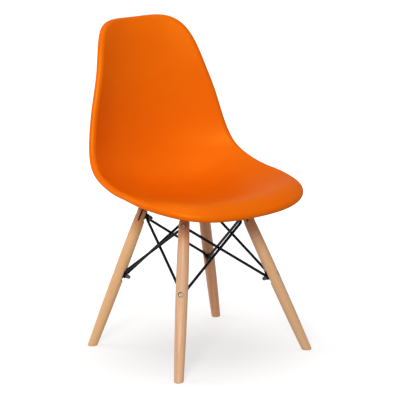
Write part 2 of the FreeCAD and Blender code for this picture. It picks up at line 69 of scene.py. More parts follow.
def linear(colour: str) -> tuple[float, float, float, float]:
    """Turn an sRGB hex colour into the linear one that a socket takes.

    Args:
        colour: six hex digits after a hash.

    Returns:
        Linear red, green, blue and an alpha of one.
    """
    parts = [int(colour[start:start + 2], 16) / 255 for start in (1, 3, 5)]
    red, green, blue = (part / 12.92 if part <= 0.04045 else ((part + 0.055) / 1.055) ** 2.4
                        for part in parts)
    return red, green, blue, 1.0


def add_node(tree: Tree, kind: str, **settings: Any) -> bpy.types.Node:
    """Add a node, and set or link what is given.

    Args:
        tree: the tree that gets the node.
        kind: the node's type name.
        settings: a property's name, or an input's name or identifier with underscores for
            spaces. A socket as value is linked, and anything else is set.

    Returns:
        The new node.
    """
    node = tree.nodes.new(kind)
    for key, value in settings.items():
        if key in node.bl_rna.properties:
            setattr(node, key, value)
            continue
        names = (key, key.replace("_", " "))
        found = [socket for socket in node.inputs if socket.identifier in names]
        found = found or [socket for socket in node.inputs if socket.name in names]
        if isinstance(value, Socket):
            tree.links.new(value, found[0])
        else:
            found[0].default_value = value
    return node


# Finishes


@dataclass(frozen=True)
class Finish:
    """What every finish shares: a name, a slot and the start of its node tree."""

    name: str
    slot: Slot

    def shade(self, tree: Tree) -> Socket:
        """Add the finish's own nodes and return its surface shader."""
        raise NotImplementedError

    def material(self) -> bpy.types.Material:
        """Make the material once, and give the same one again after that.

        Returns:
            The material with its node tree.
        """
        made = bpy.data.materials.get(self.name)
        if made is None:
            made = bpy.data.materials.new(self.name)
            made.use_nodes = True
            made.node_tree.nodes.clear()
            add_node(made.node_tree, "ShaderNodeOutputMaterial", Surface=self.shade(made.node_tree))
        return made


@dataclass(frozen=True)
class Polypropylene(Finish):
    """Injection-moulded polypropylene, through-coloured and taken from a finely etched mould.

    To the eye it is a deep even colour under a soft, wide, yellowish sheen, with a faint grain
    and a lightly scuffed rim. The etched grain is about 0.3 mm, and is drawn at 1.4 mm so that it
    shows.
    """

    name: str = "injection-moulded polypropylene"
    slot: Slot = Slot.SHELL
    deep: str = "#E05600"
    pale: str = "#EA6700"
    sheen: str = "#FFC634"
    sheen_share: float = 0.075
    scuffed: str = "#F48A30"
    scuff_share: float = 0.35
    scuff_span: Span = (0.56, 0.74)
    roughness: Span = (0.46, 0.54)
    cloud_mm: float = 130.0
    polish_mm: float = 45.0
    scuff_mm: float = 3.5
    grain_mm: float = 1.4
    grain_depth_mm: float = 0.12

    def shade(self, tree: Tree) -> Socket:
        """Add clouded colour, grain, polish and a scuffed rim.

        Args:
            tree: the material's node tree.

        Returns:
            The surface shader.
        """
        place = add_node(tree, "ShaderNodeTexCoord").outputs["Object"]
        rim = add_node(tree, "ShaderNodeAttribute", attribute_name="rim").outputs["Fac"]
        cloud, specks, polish, grain = (
            add_node(tree, "ShaderNodeTexNoise", Vector=place, Scale=1 / (size * MM), Detail=detail,
                     Roughness=fineness).outputs["Fac"]
            for size, detail, fineness in ((self.cloud_mm, 3.0, 0.5), (self.scuff_mm, 4.0, 0.7),
                                           (self.polish_mm, 2.0, 0.5), (self.grain_mm, 2.0, 0.6)))
        scuffs, roughness = (
            add_node(tree, "ShaderNodeMapRange", Value=value, From_Min=low, From_Max=high, To_Min=first,
                     To_Max=last).outputs["Result"]
            for value, (low, high), (first, last) in (
                (specks, self.scuff_span, (0.0, self.scuff_share)), (polish, NOISE_SPAN, self.roughness)))
        worn = add_node(tree, "ShaderNodeMath", operation="MULTIPLY", Value=scuffs,
                        Value_001=rim).outputs[0]
        colour = linear(self.deep)
        for factor, over in ((cloud, self.pale), (worn, self.scuffed)):
            colour = add_node(tree, "ShaderNodeMix", data_type="RGBA", Factor_Float=factor,
                              A_Color=colour, B_Color=linear(over)).outputs["Result"]
        normal = add_node(tree, "ShaderNodeBump", Height=grain, Strength=0.35,
                          Distance=self.grain_depth_mm * MM).outputs["Normal"]
        body = add_node(tree, "ShaderNodeBsdfPrincipled", Base_Color=colour, Roughness=roughness,
                        Normal=normal, IOR=1.49, Specular_IOR_Level=0.02).outputs[0]
        sheen = add_node(tree, "ShaderNodeBsdfGlossy", Color=linear(self.sheen), Roughness=roughness,
                         Normal=normal).outputs[0]
        return add_node(tree, "ShaderNodeMixShader", Fac=self.sheen_share, Shader=body,
                        Shader_001=sheen).outputs[0]


@dataclass(frozen=True)
class Beech(Finish):
    """Steamed beech, turned, sanded and sprayed with a clear satin lacquer.

    To the eye it is a warm tan with soft darker growth bands along the leg and short brown
    flecks of ray cells. Towards its top it is darker and redder with painted shade and painted
    orange light from the seat above, and it is browner in the counterbores with painted shade.
    Bands lie 2 mm apart and flecks are 0.4 by 3 mm, and both are drawn about twice as coarse so
    that they show. Fibres are about 0.02 mm thick, and are drawn at 0.7 mm.
    """

    name: str = "lacquered beech"
    slot: Slot = Slot.WOOD
    early: str = "#EDBD93"
    late: str = "#D8A274"
    late_share: float = 0.6
    fleck: str = "#AC7848"
    fleck_share: float = 0.4
    # Painted shade in the counterbores of the bolts.
    counterbore_shade: str = "#8A6040"
    # Painted shade and painted orange light from the seat, over the top ends of the legs.
    painted_top_shade: str = "#CB8656"
    painted_top_shade_share: float = 0.7
    painted_top_shade_heights: Span = (305.0, 368.0)
    roughness: Span = (0.42, 0.56)
    band_mm: float = 4.5
    band_stretch: float = 0.06
    sway_mm: float = 22.0
    fleck_mm: float = 1.1
    fleck_length: float = 9.0
    fibre_mm: float = 0.7
    fibre_stretch: float = 0.03
    fibre_depth_mm: float = 0.08

    def shade(self, tree: Tree) -> Socket:
        """Add growth bands, ray flecks, painted shade at the top, in the counterbores and per leg, fine
        fibres and the lacquer.

        Args:
            tree: the material's node tree.

        Returns:
            The surface shader.
        """
        grain, leg_place = (
            add_node(tree, "ShaderNodeAttribute", attribute_name=name).outputs["Vector"]
            for name in ("grain", "leg_place"))
        # Each leg's own multiplier, which paints the shade that falls on that leg.
        tone = add_node(tree, "ShaderNodeAttribute", attribute_name="tone").outputs["Color"]
        drawn, short, thin = (
            add_node(tree, "ShaderNodeMapping", Vector=grain, Scale=(1.0, 1.0, along)).outputs["Vector"]
            for along in (self.band_stretch, 1 / self.fleck_length, self.fibre_stretch))
        sway, fibre = (
            add_node(tree, "ShaderNodeTexNoise", Vector=place, Scale=1 / (size * MM), Detail=2.0).outputs
            for place, size in ((drawn, self.sway_mm), (thin, self.fibre_mm)))
        moved = add_node(tree, "ShaderNodeVectorMath", operation="MULTIPLY_ADD", Vector=sway["Color"],
                         Vector_001=(self.sway_mm * MM * 0.5,) * 3, Vector_002=drawn).outputs["Vector"]
        bands = add_node(tree, "ShaderNodeTexWave", wave_type="BANDS", bands_direction="X",
                         wave_profile="SAW", Vector=moved, Scale=math.pi / (10 * self.band_mm * MM),
                         Distortion=0.0).outputs["Fac"]
        rays = add_node(tree, "ShaderNodeTexVoronoi", feature="F1", Vector=short,
                        Scale=1 / (self.fleck_mm * 3 * MM), Randomness=1.0).outputs["Distance"]
        height = add_node(tree, "ShaderNodeSeparateXYZ", Vector=leg_place).outputs["Z"]
        # Heights over which the painted shade and orange seat light fade in at the top of the leg.
        start, end = self.painted_top_shade_heights
        late, flecks, painted_top_shade, roughness = (
            add_node(tree, "ShaderNodeMapRange", interpolation_type=way, Value=value, From_Min=low,
                     From_Max=high, To_Min=first, To_Max=last).outputs["Result"]
            for way, value, (low, high), (first, last) in (
                ("SMOOTHSTEP", bands, (0.15, 1.0), (0.0, self.late_share)),
                ("LINEAR", rays, (0.10, 0.22), (self.fleck_share, 0.0)),
                ("SMOOTHSTEP", height, (start * MM, end * MM), (0.0, self.painted_top_shade_share)),
                ("LINEAR", fibre["Fac"], NOISE_SPAN, self.roughness)))
        # The last two layers are painted: shade in the counterbores, and shade with orange seat light at
        # the top.
        colour = linear(self.early)
        for factor, over in ((late, self.late), (flecks, self.fleck),
                             (self.in_counterbores(tree, leg_place), self.counterbore_shade),
                             (painted_top_shade, self.painted_top_shade)):
            colour = add_node(tree, "ShaderNodeMix", data_type="RGBA", Factor_Float=factor,
                              A_Color=colour, B_Color=linear(over)).outputs["Result"]
        # Multiply by the leg's painted shade.
        shade_toned = add_node(tree, "ShaderNodeMix", data_type="RGBA", blend_type="MULTIPLY",
                         Factor_Float=1.0, A_Color=colour, B_Color=tone).outputs["Result"]
        normal = add_node(tree, "ShaderNodeBump", Height=fibre["Fac"], Strength=0.25,
                          Distance=self.fibre_depth_mm * MM).outputs["Normal"]
        return add_node(tree, "ShaderNodeBsdfPrincipled", Base_Color=shade_toned, Roughness=roughness,
                        Normal=normal, IOR=1.5, Specular_IOR_Level=0.3, Coat_Weight=0.12,
                        Coat_Roughness=0.3).outputs[0]

    @staticmethod
    def in_counterbores(tree: Tree, leg_place: Socket) -> Socket:
        """Add nodes that give 1 in the counterbores of the bolts, where shade is painted.

        Args:
            tree: the material's node tree.
            leg_place: place in the leg's own frame, in metres.

        Returns:
            The factor.
        """
        flat = add_node(tree, "ShaderNodeMapping", Vector=leg_place,
                        Scale=(0.0, 1.0, 1.0)).outputs["Vector"]
        upper, middle = (
            add_node(tree, "ShaderNodeVectorMath", operation="DISTANCE", Vector=flat,
                     Vector_001=(0.0, 0.0, height * MM / LEG_AXES[0].up[2])).outputs["Value"]
            for height in (UPPER_JOINT, MIDDLE_JOINT))
        near = add_node(tree, "ShaderNodeMath", operation="MINIMUM", Value=upper,
                        Value_001=middle).outputs[0]
        bored = add_node(tree, "ShaderNodeMapRange", Value=near, From_Min=(COUNTERBORE_RADIUS - 0.1) * MM,
                         From_Max=(COUNTERBORE_RADIUS + 0.6) * MM, To_Min=1.0,
                         To_Max=0.0).outputs["Result"]
        out = add_node(tree, "ShaderNodeSeparateXYZ", Vector=leg_place).outputs["X"]
        outer_half = add_node(tree, "ShaderNodeMath", operation="GREATER_THAN", Value=out,
                              Value_001=0.0).outputs[0]
        return add_node(tree, "ShaderNodeMath", operation="MULTIPLY", Value=bored,
                        Value_001=outer_half).outputs[0]


@dataclass(frozen=True)
class Grained(Finish):
    """A surface that is clouded between two colours, over a fine raised grain."""

    colour: str
    clouds: str
    cloud_mm: float
    cloud_detail: float
    grain_mm: float
    grain_strength: float
    grain_depth_mm: float
    roughness: Span
    noise_span: Span = NOISE_SPAN
    grain_roughens: bool = False
    metallic: float = 0.0
    ior: float = 1.5
    gloss: float = 0.5

    def shade(self, tree: Tree) -> Socket:
        """Add the clouded colour, the grain, and a roughness that follows the clouds or the grain.

        Args:
            tree: the material's node tree.

        Returns:
            The surface shader.
        """
        place = add_node(tree, "ShaderNodeTexCoord").outputs["Object"]
        cloud, grain = (
            add_node(tree, "ShaderNodeTexNoise", Vector=place, Scale=1 / (size * MM),
                     Detail=detail).outputs["Fac"]
            for size, detail in ((self.cloud_mm, self.cloud_detail), (self.grain_mm, 2.0)))
        colour = add_node(tree, "ShaderNodeMix", data_type="RGBA", Factor_Float=cloud,
                          A_Color=linear(self.colour), B_Color=linear(self.clouds)).outputs["Result"]
        roughness = add_node(tree, "ShaderNodeMapRange", Value=grain if self.grain_roughens else cloud,
                             From_Min=self.noise_span[0], From_Max=self.noise_span[1],
                             To_Min=self.roughness[0], To_Max=self.roughness[1]).outputs["Result"]
        normal = add_node(tree, "ShaderNodeBump", Height=grain, Strength=self.grain_strength,
                          Distance=self.grain_depth_mm * MM).outputs["Normal"]
        return add_node(tree, "ShaderNodeBsdfPrincipled", Base_Color=colour, Metallic=self.metallic,
                        Roughness=roughness, Normal=normal, IOR=self.ior,
                        Specular_IOR_Level=self.gloss).outputs[0]


@dataclass(frozen=True)
class PowderCoat(Grained):
    """Steel with a baked polyester powder coat in black.

    To the eye it is a soft black skin with a low orange peel, and grey light along its edges.
    The peel's waves are about 1 mm apart, and are drawn at 2 mm so that they show.
    """

    name: str = "powder-coated steel"
    slot: Slot = Slot.BLACK_STEEL
    colour: str = "#070708"
    clouds: str = "#101011"
    cloud_mm: float = 14.0
    cloud_detail: float = 4.0
    grain_mm: float = 2.0
    grain_strength: float = 0.3
    grain_depth_mm: float = 0.1
    roughness: Span = (0.38, 0.5)
    ior: float = 1.52
    gloss: float = 0.1


@dataclass(frozen=True)
class PlatedMetal(Grained):
    """Turned metal with a thin plating or a bare machined skin.

    To the eye it is a pale, satin metal with a cloudy tint and fine handling marks that catch
    the light. The marks are about 0.2 mm wide, and are drawn at 0.8 mm so that they show.
    """

    name: str = "zinc-plated steel"
    slot: Slot = Slot.ZINC
    colour: str = "#A89B8B"
    clouds: str = "#8F8375"
    cloud_mm: float = 5.0
    cloud_detail: float = 3.0
    grain_mm: float = 0.8
    grain_strength: float = 0.15
    grain_depth_mm: float = 0.05
    roughness: Span = (0.38, 0.5)
    grain_roughens: bool = True
    metallic: float = 1.0


@dataclass(frozen=True)
class Rubber(Grained):
    """Moulded black rubber.

    To the eye it is a dull dark grey with a faint bloom. Its grain is about 0.5 mm, and is
    drawn at 1 mm so that it shows.
    """

    name: str = "moulded rubber"
    slot: Slot = Slot.RUBBER
    colour: str = "#1C1C1C"
    clouds: str = "#343331"
    cloud_mm: float = 7.0
    cloud_detail: float = 3.0
    grain_mm: float = 1.0
    grain_strength: float = 0.3
    grain_depth_mm: float = 0.1
    roughness: Span = (0.62, 0.8)
    noise_span: Span = (0.0, 1.0)


SHELL_FINISH = Polypropylene()
WOOD_FINISH = Beech()
BLACK_FINISH = PowderCoat()
# The nuts are a lighter grey than the other black steel, which is painted highlight, and their higher
# gloss catches real highlights.
NUT_FINISH = PowderCoat("worn powder-coated steel", colour="#2A2A28", clouds="#454542", cloud_mm=5.0,
                        grain_mm=1.2, roughness=(0.3, 0.4), gloss=0.5)
ZINC_FINISH = PlatedMetal()
# Turned brass is yellow, and smoother than plated steel.
BRASS_FINISH = PlatedMetal("turned brass", Slot.BRASS, "#D9B878", "#B8924E", roughness=(0.3, 0.42))
RUBBER_FINISH = Rubber()


# Mesh helpers


def unit(vector: np.ndarray) -> np.ndarray:
    """Scale vectors to a length of one, along their last axis."""
    return vector / np.linalg.norm(vector, axis=-1, keepdims=True)


def smooth_step(value: float | np.ndarray) -> float | np.ndarray:
    """Ease from 0 to 1 as a value goes from 0 to 1."""
    value = np.clip(value, 0.0, 1.0)
    return value * value * (3 - 2 * value)


def through(stations: Stations, place: np.ndarray | float) -> np.ndarray:
    """Read a smooth curve through given stations.

    Args:
        stations: pairs of place and value, in order of place.
        place: where to read the curve.

    Returns:
        The curve's values.
    """
    keys, values = np.array(stations, float).T
    place = np.clip(place, keys[0], keys[-1])
    index = np.clip(np.searchsorted(keys, place, side="left") - 1, 0, len(keys) - 2)
    ahead = np.minimum(np.arange(len(keys)) + 1, len(keys) - 1)
    behind = np.maximum(np.arange(len(keys)) - 1, 0)
    slopes = (values[ahead] - values[behind]) / (keys[ahead] - keys[behind])
    span = keys[index + 1] - keys[index]
    share = (place - keys[index]) / span
    rest = 1 - share
    return ((1 + 2 * share) * rest ** 2 * values[index]
            + share ** 2 * (3 - 2 * share) * values[index + 1]
            + span * share * rest ** 2 * slopes[index]
            - span * share ** 2 * rest * slopes[index + 1])


def new_object(name: str, points: np.ndarray, faces: Iterable[Sequence[int]],
               edges: Iterable[Sequence[int]] = ()) -> Object:
    """Make a mesh object from points in millimetres.

    Args:
        name: the object's name.
        points: one row for each vertex.
        faces: vertex numbers of each face.
        edges: vertex numbers of loose edges.

    Returns:
        The object, linked to the scene.
    """
    mesh = bpy.data.meshes.new(name)
    mesh.from_pydata((np.asarray(points) * MM).tolist(), list(edges), [list(face) for face in faces])
    made = bpy.data.objects.new(name, mesh)
    bpy.context.scene.collection.objects.link(made)
    return made


def loft(name: str, loops: Loops, closed_start: bool = True, closed_end: bool = True) -> Object:
    """Join loops of equal count with quads, and close the ends with one face each.

    Args:
        name: the object's name.
        loops: rings of points in millimetres, counterclockwise about the way they go.
        closed_start: close the first loop.
        closed_end: close the last loop.

    Returns:
        The object.
    """
    count = len(loops[0])
    last = (len(loops) - 1) * count
    faces = []
    for row in range(0, last, count):
        for turn in range(count):
            after = (turn + 1) % count
            faces.append((row + turn, row + after, row + count + after, row + count + turn))
    if closed_start:
        faces.append(range(count - 1, -1, -1))
    if closed_end:
        faces.append(range(last, last + count))
    return new_object(name, np.concatenate(loops), faces)


def circle(count: int) -> np.ndarray:
    """Give evenly spaced angles round a full turn."""
    return np.arange(count) * (2 * math.pi / count)


def turned(stations: Iterable[tuple[float, float, float | None]], count: int = 48) -> Loops:
    """Make loops round the Z axis, each a circle, a hexagon, or a hexagon with cut corners.

    Args:
        stations: height, radius of the circle, and the hexagon's width across flats or None.
        count: points in each loop, a multiple of six.

    Returns:
        The loops, in millimetres.
    """
    angles = circle(count)
    loops = []
    for height, radius, width in stations:
        reach = np.full(count, radius)
        if width is not None:
            sector = (angles + math.pi / 6) % (math.pi / 3) - math.pi / 6
            reach = np.minimum(reach, width / 2 / np.cos(sector))
        loops.append(np.stack([reach * np.cos(angles), reach * np.sin(angles),
                               np.full(count, height)], axis=1))
    return loops


def evaluated(target: Object) -> Object:
    """Turn an object's modifiers into its mesh.

    Args:
        target: an object with modifiers.

    Returns:
        The same object, with a plain mesh and no modifiers.
    """
    graph = bpy.context.evaluated_depsgraph_get()
    mesh = bpy.data.meshes.new_from_object(target.evaluated_get(graph),
                                           preserve_all_data_layers=True, depsgraph=graph)
    target.modifiers.clear()
    old = target.data
    target.data = mesh
    mesh.name = target.name
    bpy.data.meshes.remove(old)
    return target


def remove(target: Object) -> None:
    """Remove an object and its mesh.

    Args:
        target: a mesh object.
    """
    mesh = target.data
    bpy.data.objects.remove(target)
    bpy.data.meshes.remove(mesh)


def combine(target: Object, tools: list[Object], operation: str) -> Object:
    """Cut tools out of an object or fuse them to it, and remove the tools.

    Args:
        target: the object that is changed.
        tools: closed mesh objects.
        operation: DIFFERENCE or UNION.

    Returns:
        The target.
    """
    for tool in tools:
        modifier = target.modifiers.new("combine", "BOOLEAN")
        modifier.operation = operation
        modifier.solver = "EXACT"
        modifier.object = tool
    evaluated(target)
    for tool in tools:
        remove(tool)
    return target


def tidy_mesh(target: Object, sharp_degrees: float = 38.0) -> None:
    """Merge doubles, point faces outwards, and shade smooth up to an angle.

    Args:
        target: a mesh object.
        sharp_degrees: edges that turn by more than this stay sharp.
    """
    same_place = 0.002 * MM
    work = bmesh.new()
    work.from_mesh(target.data)
    bmesh.ops.remove_doubles(work, verts=work.verts, dist=same_place)
    bmesh.ops.dissolve_degenerate(work, edges=work.edges, dist=same_place)
    bmesh.ops.recalc_face_normals(work, faces=work.faces)
    work.to_mesh(target.data)
    work.free()
    target.data.polygons.foreach_set("use_smooth", [True] * len(target.data.polygons))
    target.data.set_sharp_from_angle(angle=math.radians(sharp_degrees))


def add_attribute(target: Object, name: str, values: np.ndarray) -> None:
    """Write a value for every vertex: a number each, or a vector each.

    Args:
        target: a mesh object.
        name: the attribute's name.
        values: one row for each vertex.
    """
    vector = values.ndim == 2
    kind = "FLOAT_VECTOR" if vector else "FLOAT"
    layer = target.data.attributes.get(name) or target.data.attributes.new(name, kind, "POINT")
    layer.data.foreach_set("vector" if vector else "value", values.astype(np.float32).ravel())


def vertex_places(target: Object) -> np.ndarray:
    """Give an object's vertices.

    Args:
        target: a mesh object.

    Returns:
        Their places in millimetres, one row each.
    """
    places = np.empty(len(target.data.vertices) * 3, np.float32)
    target.data.vertices.foreach_get("co", places)
    return places.reshape(-1, 3).astype(float) / MM


def dress(piece: Object, finish: Finish, nodes: Sequence[str]) -> Object:
    """Give a finished piece its material and body, and hide the CAD nodes that it replaces.

    Args:
        piece: a mesh object in its place.
        finish: the piece's finish.
        nodes: CAD nodes that the piece replaces.

    Returns:
        The piece.
    """
    piece.data.materials.clear()
    piece.data.materials.append(finish.material())
    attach(piece, "root")
    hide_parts(*nodes)
    LOG.info("%s: %d vertices, %d faces, %s", piece.name, len(piece.data.vertices),
             len(piece.data.polygons), finish.name)
    return piece


# Node trees for repeats and sweeps


@dataclass(frozen=True)
class GeometryTree:
    """A Geometry Nodes tree with named inputs, run on one object and turned into its mesh."""

    name: str
    inputs: dict[str, tuple[str, Any]]
    fill: Callable[[Tree, bpy.types.Node], Socket]

    def run(self, target: Object) -> Object:
        """Build the tree, run it on an object and keep the result as a plain mesh.

        Args:
            target: an object whose mesh the tree reads.

        Returns:
            The same object with the tree's mesh.
        """
        tree = bpy.data.node_groups.new(self.name, "GeometryNodeTree")
        for way in ("INPUT", "OUTPUT"):
            tree.interface.new_socket("Geometry", in_out=way, socket_type="NodeSocketGeometry")
        keys = {tree.interface.new_socket(label, in_out="INPUT", socket_type=kind).identifier: value
                for label, (kind, value) in self.inputs.items()}
        source = add_node(tree, "NodeGroupInput")
        realized = add_node(tree, "GeometryNodeRealizeInstances", Geometry=self.fill(tree, source))
        dressed = add_node(tree, "GeometryNodeSetMaterial", Geometry=realized.outputs["Geometry"],
                           Material=source.outputs["Material"])
        add_node(tree, "NodeGroupOutput", Geometry=dressed.outputs["Geometry"])
        modifier = target.modifiers.new(self.name, "NODES")
        modifier.node_group = tree
        for identifier, value in keys.items():
            modifier[identifier] = value
        evaluated(target)
        bpy.data.node_groups.remove(tree)
        return target


def sweep_nodes(tree: Tree, source: bpy.types.Node) -> Socket:
    """Add nodes that sweep a section along a line, round in some places and flat in others.

    Args:
        tree: the tree that gets the nodes.
        source: its group input, with Round Radius, Flat Thickness, Flat Power and Section Points.

    Returns:
        The socket with the swept mesh.
    """
    line = add_node(tree, "GeometryNodeMeshToCurve", Mesh=source.outputs["Geometry"])
    ring = add_node(tree, "GeometryNodeCurvePrimitiveCircle",
                    Resolution=source.outputs["Section Points"])
    share = add_node(tree, "GeometryNodeSplineParameter").outputs["Factor"]
    ring = add_node(tree, "GeometryNodeStoreNamedAttribute", data_type="FLOAT", domain="POINT",
                    Geometry=ring.outputs["Curve"], Name="turn", Value=share)
    skin = add_node(tree, "GeometryNodeCurveToMesh", Curve=line.outputs["Curve"],
                    Profile_Curve=ring.outputs["Geometry"], Fill_Caps=True)
    values = {label: source.outputs[label] for label in ("Round Radius", "Flat Thickness", "Flat Power")}
    for name, kind in (("turn", "FLOAT"), ("flatness", "FLOAT"), ("half_width", "FLOAT"),
                       ("centre", "FLOAT_VECTOR"), ("side_axis", "FLOAT_VECTOR"),
                       ("press_axis", "FLOAT_VECTOR")):
        values[name] = add_node(tree, "GeometryNodeInputNamedAttribute", data_type=kind,
                                Name=name).outputs["Attribute"]
    # Each row adds a sum, and later rows call its result by name.
    for result, operation, first, second in (
            ("angle", "MULTIPLY", "turn", 2 * math.pi),
            ("half power", "DIVIDE", "Flat Power", 2.0),
            ("more power", "SUBTRACT", "half power", 1.0),
            ("power gained", "MULTIPLY", "flatness", "more power"),
            ("power here", "ADD", 1.0, "power gained"),
            ("power", "DIVIDE", 1.0, "power here"),
            ("half flat", "DIVIDE", "Flat Thickness", 2.0),
            ("more thickness", "SUBTRACT", "half flat", "Round Radius"),
            ("thickness gained", "MULTIPLY", "flatness", "more thickness"),
            ("half thickness", "ADD", "Round Radius", "thickness gained"),
            ("side", "COSINE", "angle", 0.0), ("press", "SINE", "angle", 0.0),
            ("side sign", "SIGN", "side", 0.0), ("press sign", "SIGN", "press", 0.0),
            ("side size", "ABSOLUTE", "side", 0.0), ("press size", "ABSOLUTE", "press", 0.0),
            ("side root", "POWER", "side size", "power"), ("press root", "POWER", "press size", "power"),
            ("side bent", "MULTIPLY", "side sign", "side root"),
            ("press bent", "MULTIPLY", "press sign", "press root"),
            ("side reach", "MULTIPLY", "side bent", "half_width"),
            ("press reach", "MULTIPLY", "press bent", "half thickness")):
        values[result] = add_node(tree, "ShaderNodeMath", operation=operation,
                                  Value=values.get(first, first),
                                  Value_001=values.get(second, second)).outputs[0]
    side, press = (
        add_node(tree, "ShaderNodeVectorMath", operation="SCALE", Vector=values[way + "_axis"],
                 Scale=values[way + " reach"]).outputs["Vector"] for way in ("side", "press"))
    reach = add_node(tree, "ShaderNodeVectorMath", operation="ADD", Vector=side,
                     Vector_001=press).outputs["Vector"]
    place = add_node(tree, "ShaderNodeVectorMath", operation="ADD", Vector=reach,
                     Vector_001=values["centre"]).outputs["Vector"]
    return add_node(tree, "GeometryNodeSetPosition", Geometry=skin.outputs["Mesh"],
                    Position=place).outputs["Geometry"]


def scatter_nodes(tree: Tree, source: bpy.types.Node) -> Socket:
    """Add nodes that put one part on every point, turned to the point's own axes.

    Args:
        tree: the tree that gets the nodes.
        source: its group input, with Part.

    Returns:
        The socket with the instances.
    """
    part = add_node(tree, "GeometryNodeObjectInfo", Object=source.outputs["Part"])
    out, up = (add_node(tree, "GeometryNodeInputNamedAttribute", data_type="FLOAT_VECTOR",
                        Name=name).outputs["Attribute"] for name in ("out_axis", "up_axis"))
    turn = add_node(tree, "FunctionNodeAxesToRotation", primary_axis="Z", secondary_axis="Y",
                    Primary_Axis=out, Secondary_Axis=up)
    return add_node(tree, "GeometryNodeInstanceOnPoints", Points=source.outputs["Geometry"],
                    Instance=part.outputs["Geometry"],
                    Rotation=turn.outputs["Rotation"]).outputs["Instances"]


def scatter(node: str, template: Object, places: np.ndarray, outs: np.ndarray, ups: np.ndarray,
            finish: Finish) -> Object:
    """Put copies of a template at points, as one dressed piece, and remove the template.

    Args:
        node: the CAD node that the piece replaces.
        template: a mesh object drawn with Z outwards and Y up.
        places: the points in millimetres.
        outs: direction of each copy's Z.
        ups: direction of each copy's Y.
        finish: the piece's finish.

    Returns:
        The piece, with a plain mesh.
    """
    tidy_mesh(template)
    piece = new_object(node + "_set", places, [])
    add_attribute(piece, "out_axis", outs)
    add_attribute(piece, "up_axis", ups)
    GeometryTree(node + "_on_points", {"Part": ("NodeSocketObject", template),
                                       "Material": ("NodeSocketMaterial", finish.material())},
                 scatter_nodes).run(piece)
    remove(template)
    return dress(piece, finish, [node])


@dataclass(frozen=True)
class Station:
    """One place of a sweep: its middle, the section's two axes, its half width and flatness."""

    centre: np.ndarray
    side_axis: np.ndarray
    press_axis: np.ndarray
    half_width: float
    flatness: float


@dataclass(frozen=True)
class Section:
    """What a swept section keeps along its way.

    The power says how square the flat section's corners are.
    """

    round_radius: float
    flat_thickness: float
    flat_power: float
    points: int

    def sweep(self, name: str, stations: Sequence[Station], finish: Finish) -> Object:
        """Sweep the section along its stations.

        Args:
            name: the piece's name.
            stations: the places that it goes through.
            finish: the piece's finish.

        Returns:
            The piece, with a plain closed mesh.
        """
        line = new_object(name, np.array([station.centre for station in stations]), [],
                          [(step, step + 1) for step in range(len(stations) - 1)])
        for label, size in (("centre", MM), ("side_axis", 1.0), ("press_axis", 1.0),
                            ("half_width", MM), ("flatness", 1.0)):
            add_attribute(line, label, np.array([getattr(station, label) for station in stations]) * size)
        return GeometryTree(name + "_sweep", {
            "Round Radius": ("NodeSocketFloat", self.round_radius * MM),
            "Flat Thickness": ("NodeSocketFloat", self.flat_thickness * MM),
            "Flat Power": ("NodeSocketFloat", self.flat_power),
            "Section Points": ("NodeSocketInt", self.points),
            "Material": ("NodeSocketMaterial", finish.material())}, sweep_nodes).run(line)


# Shell


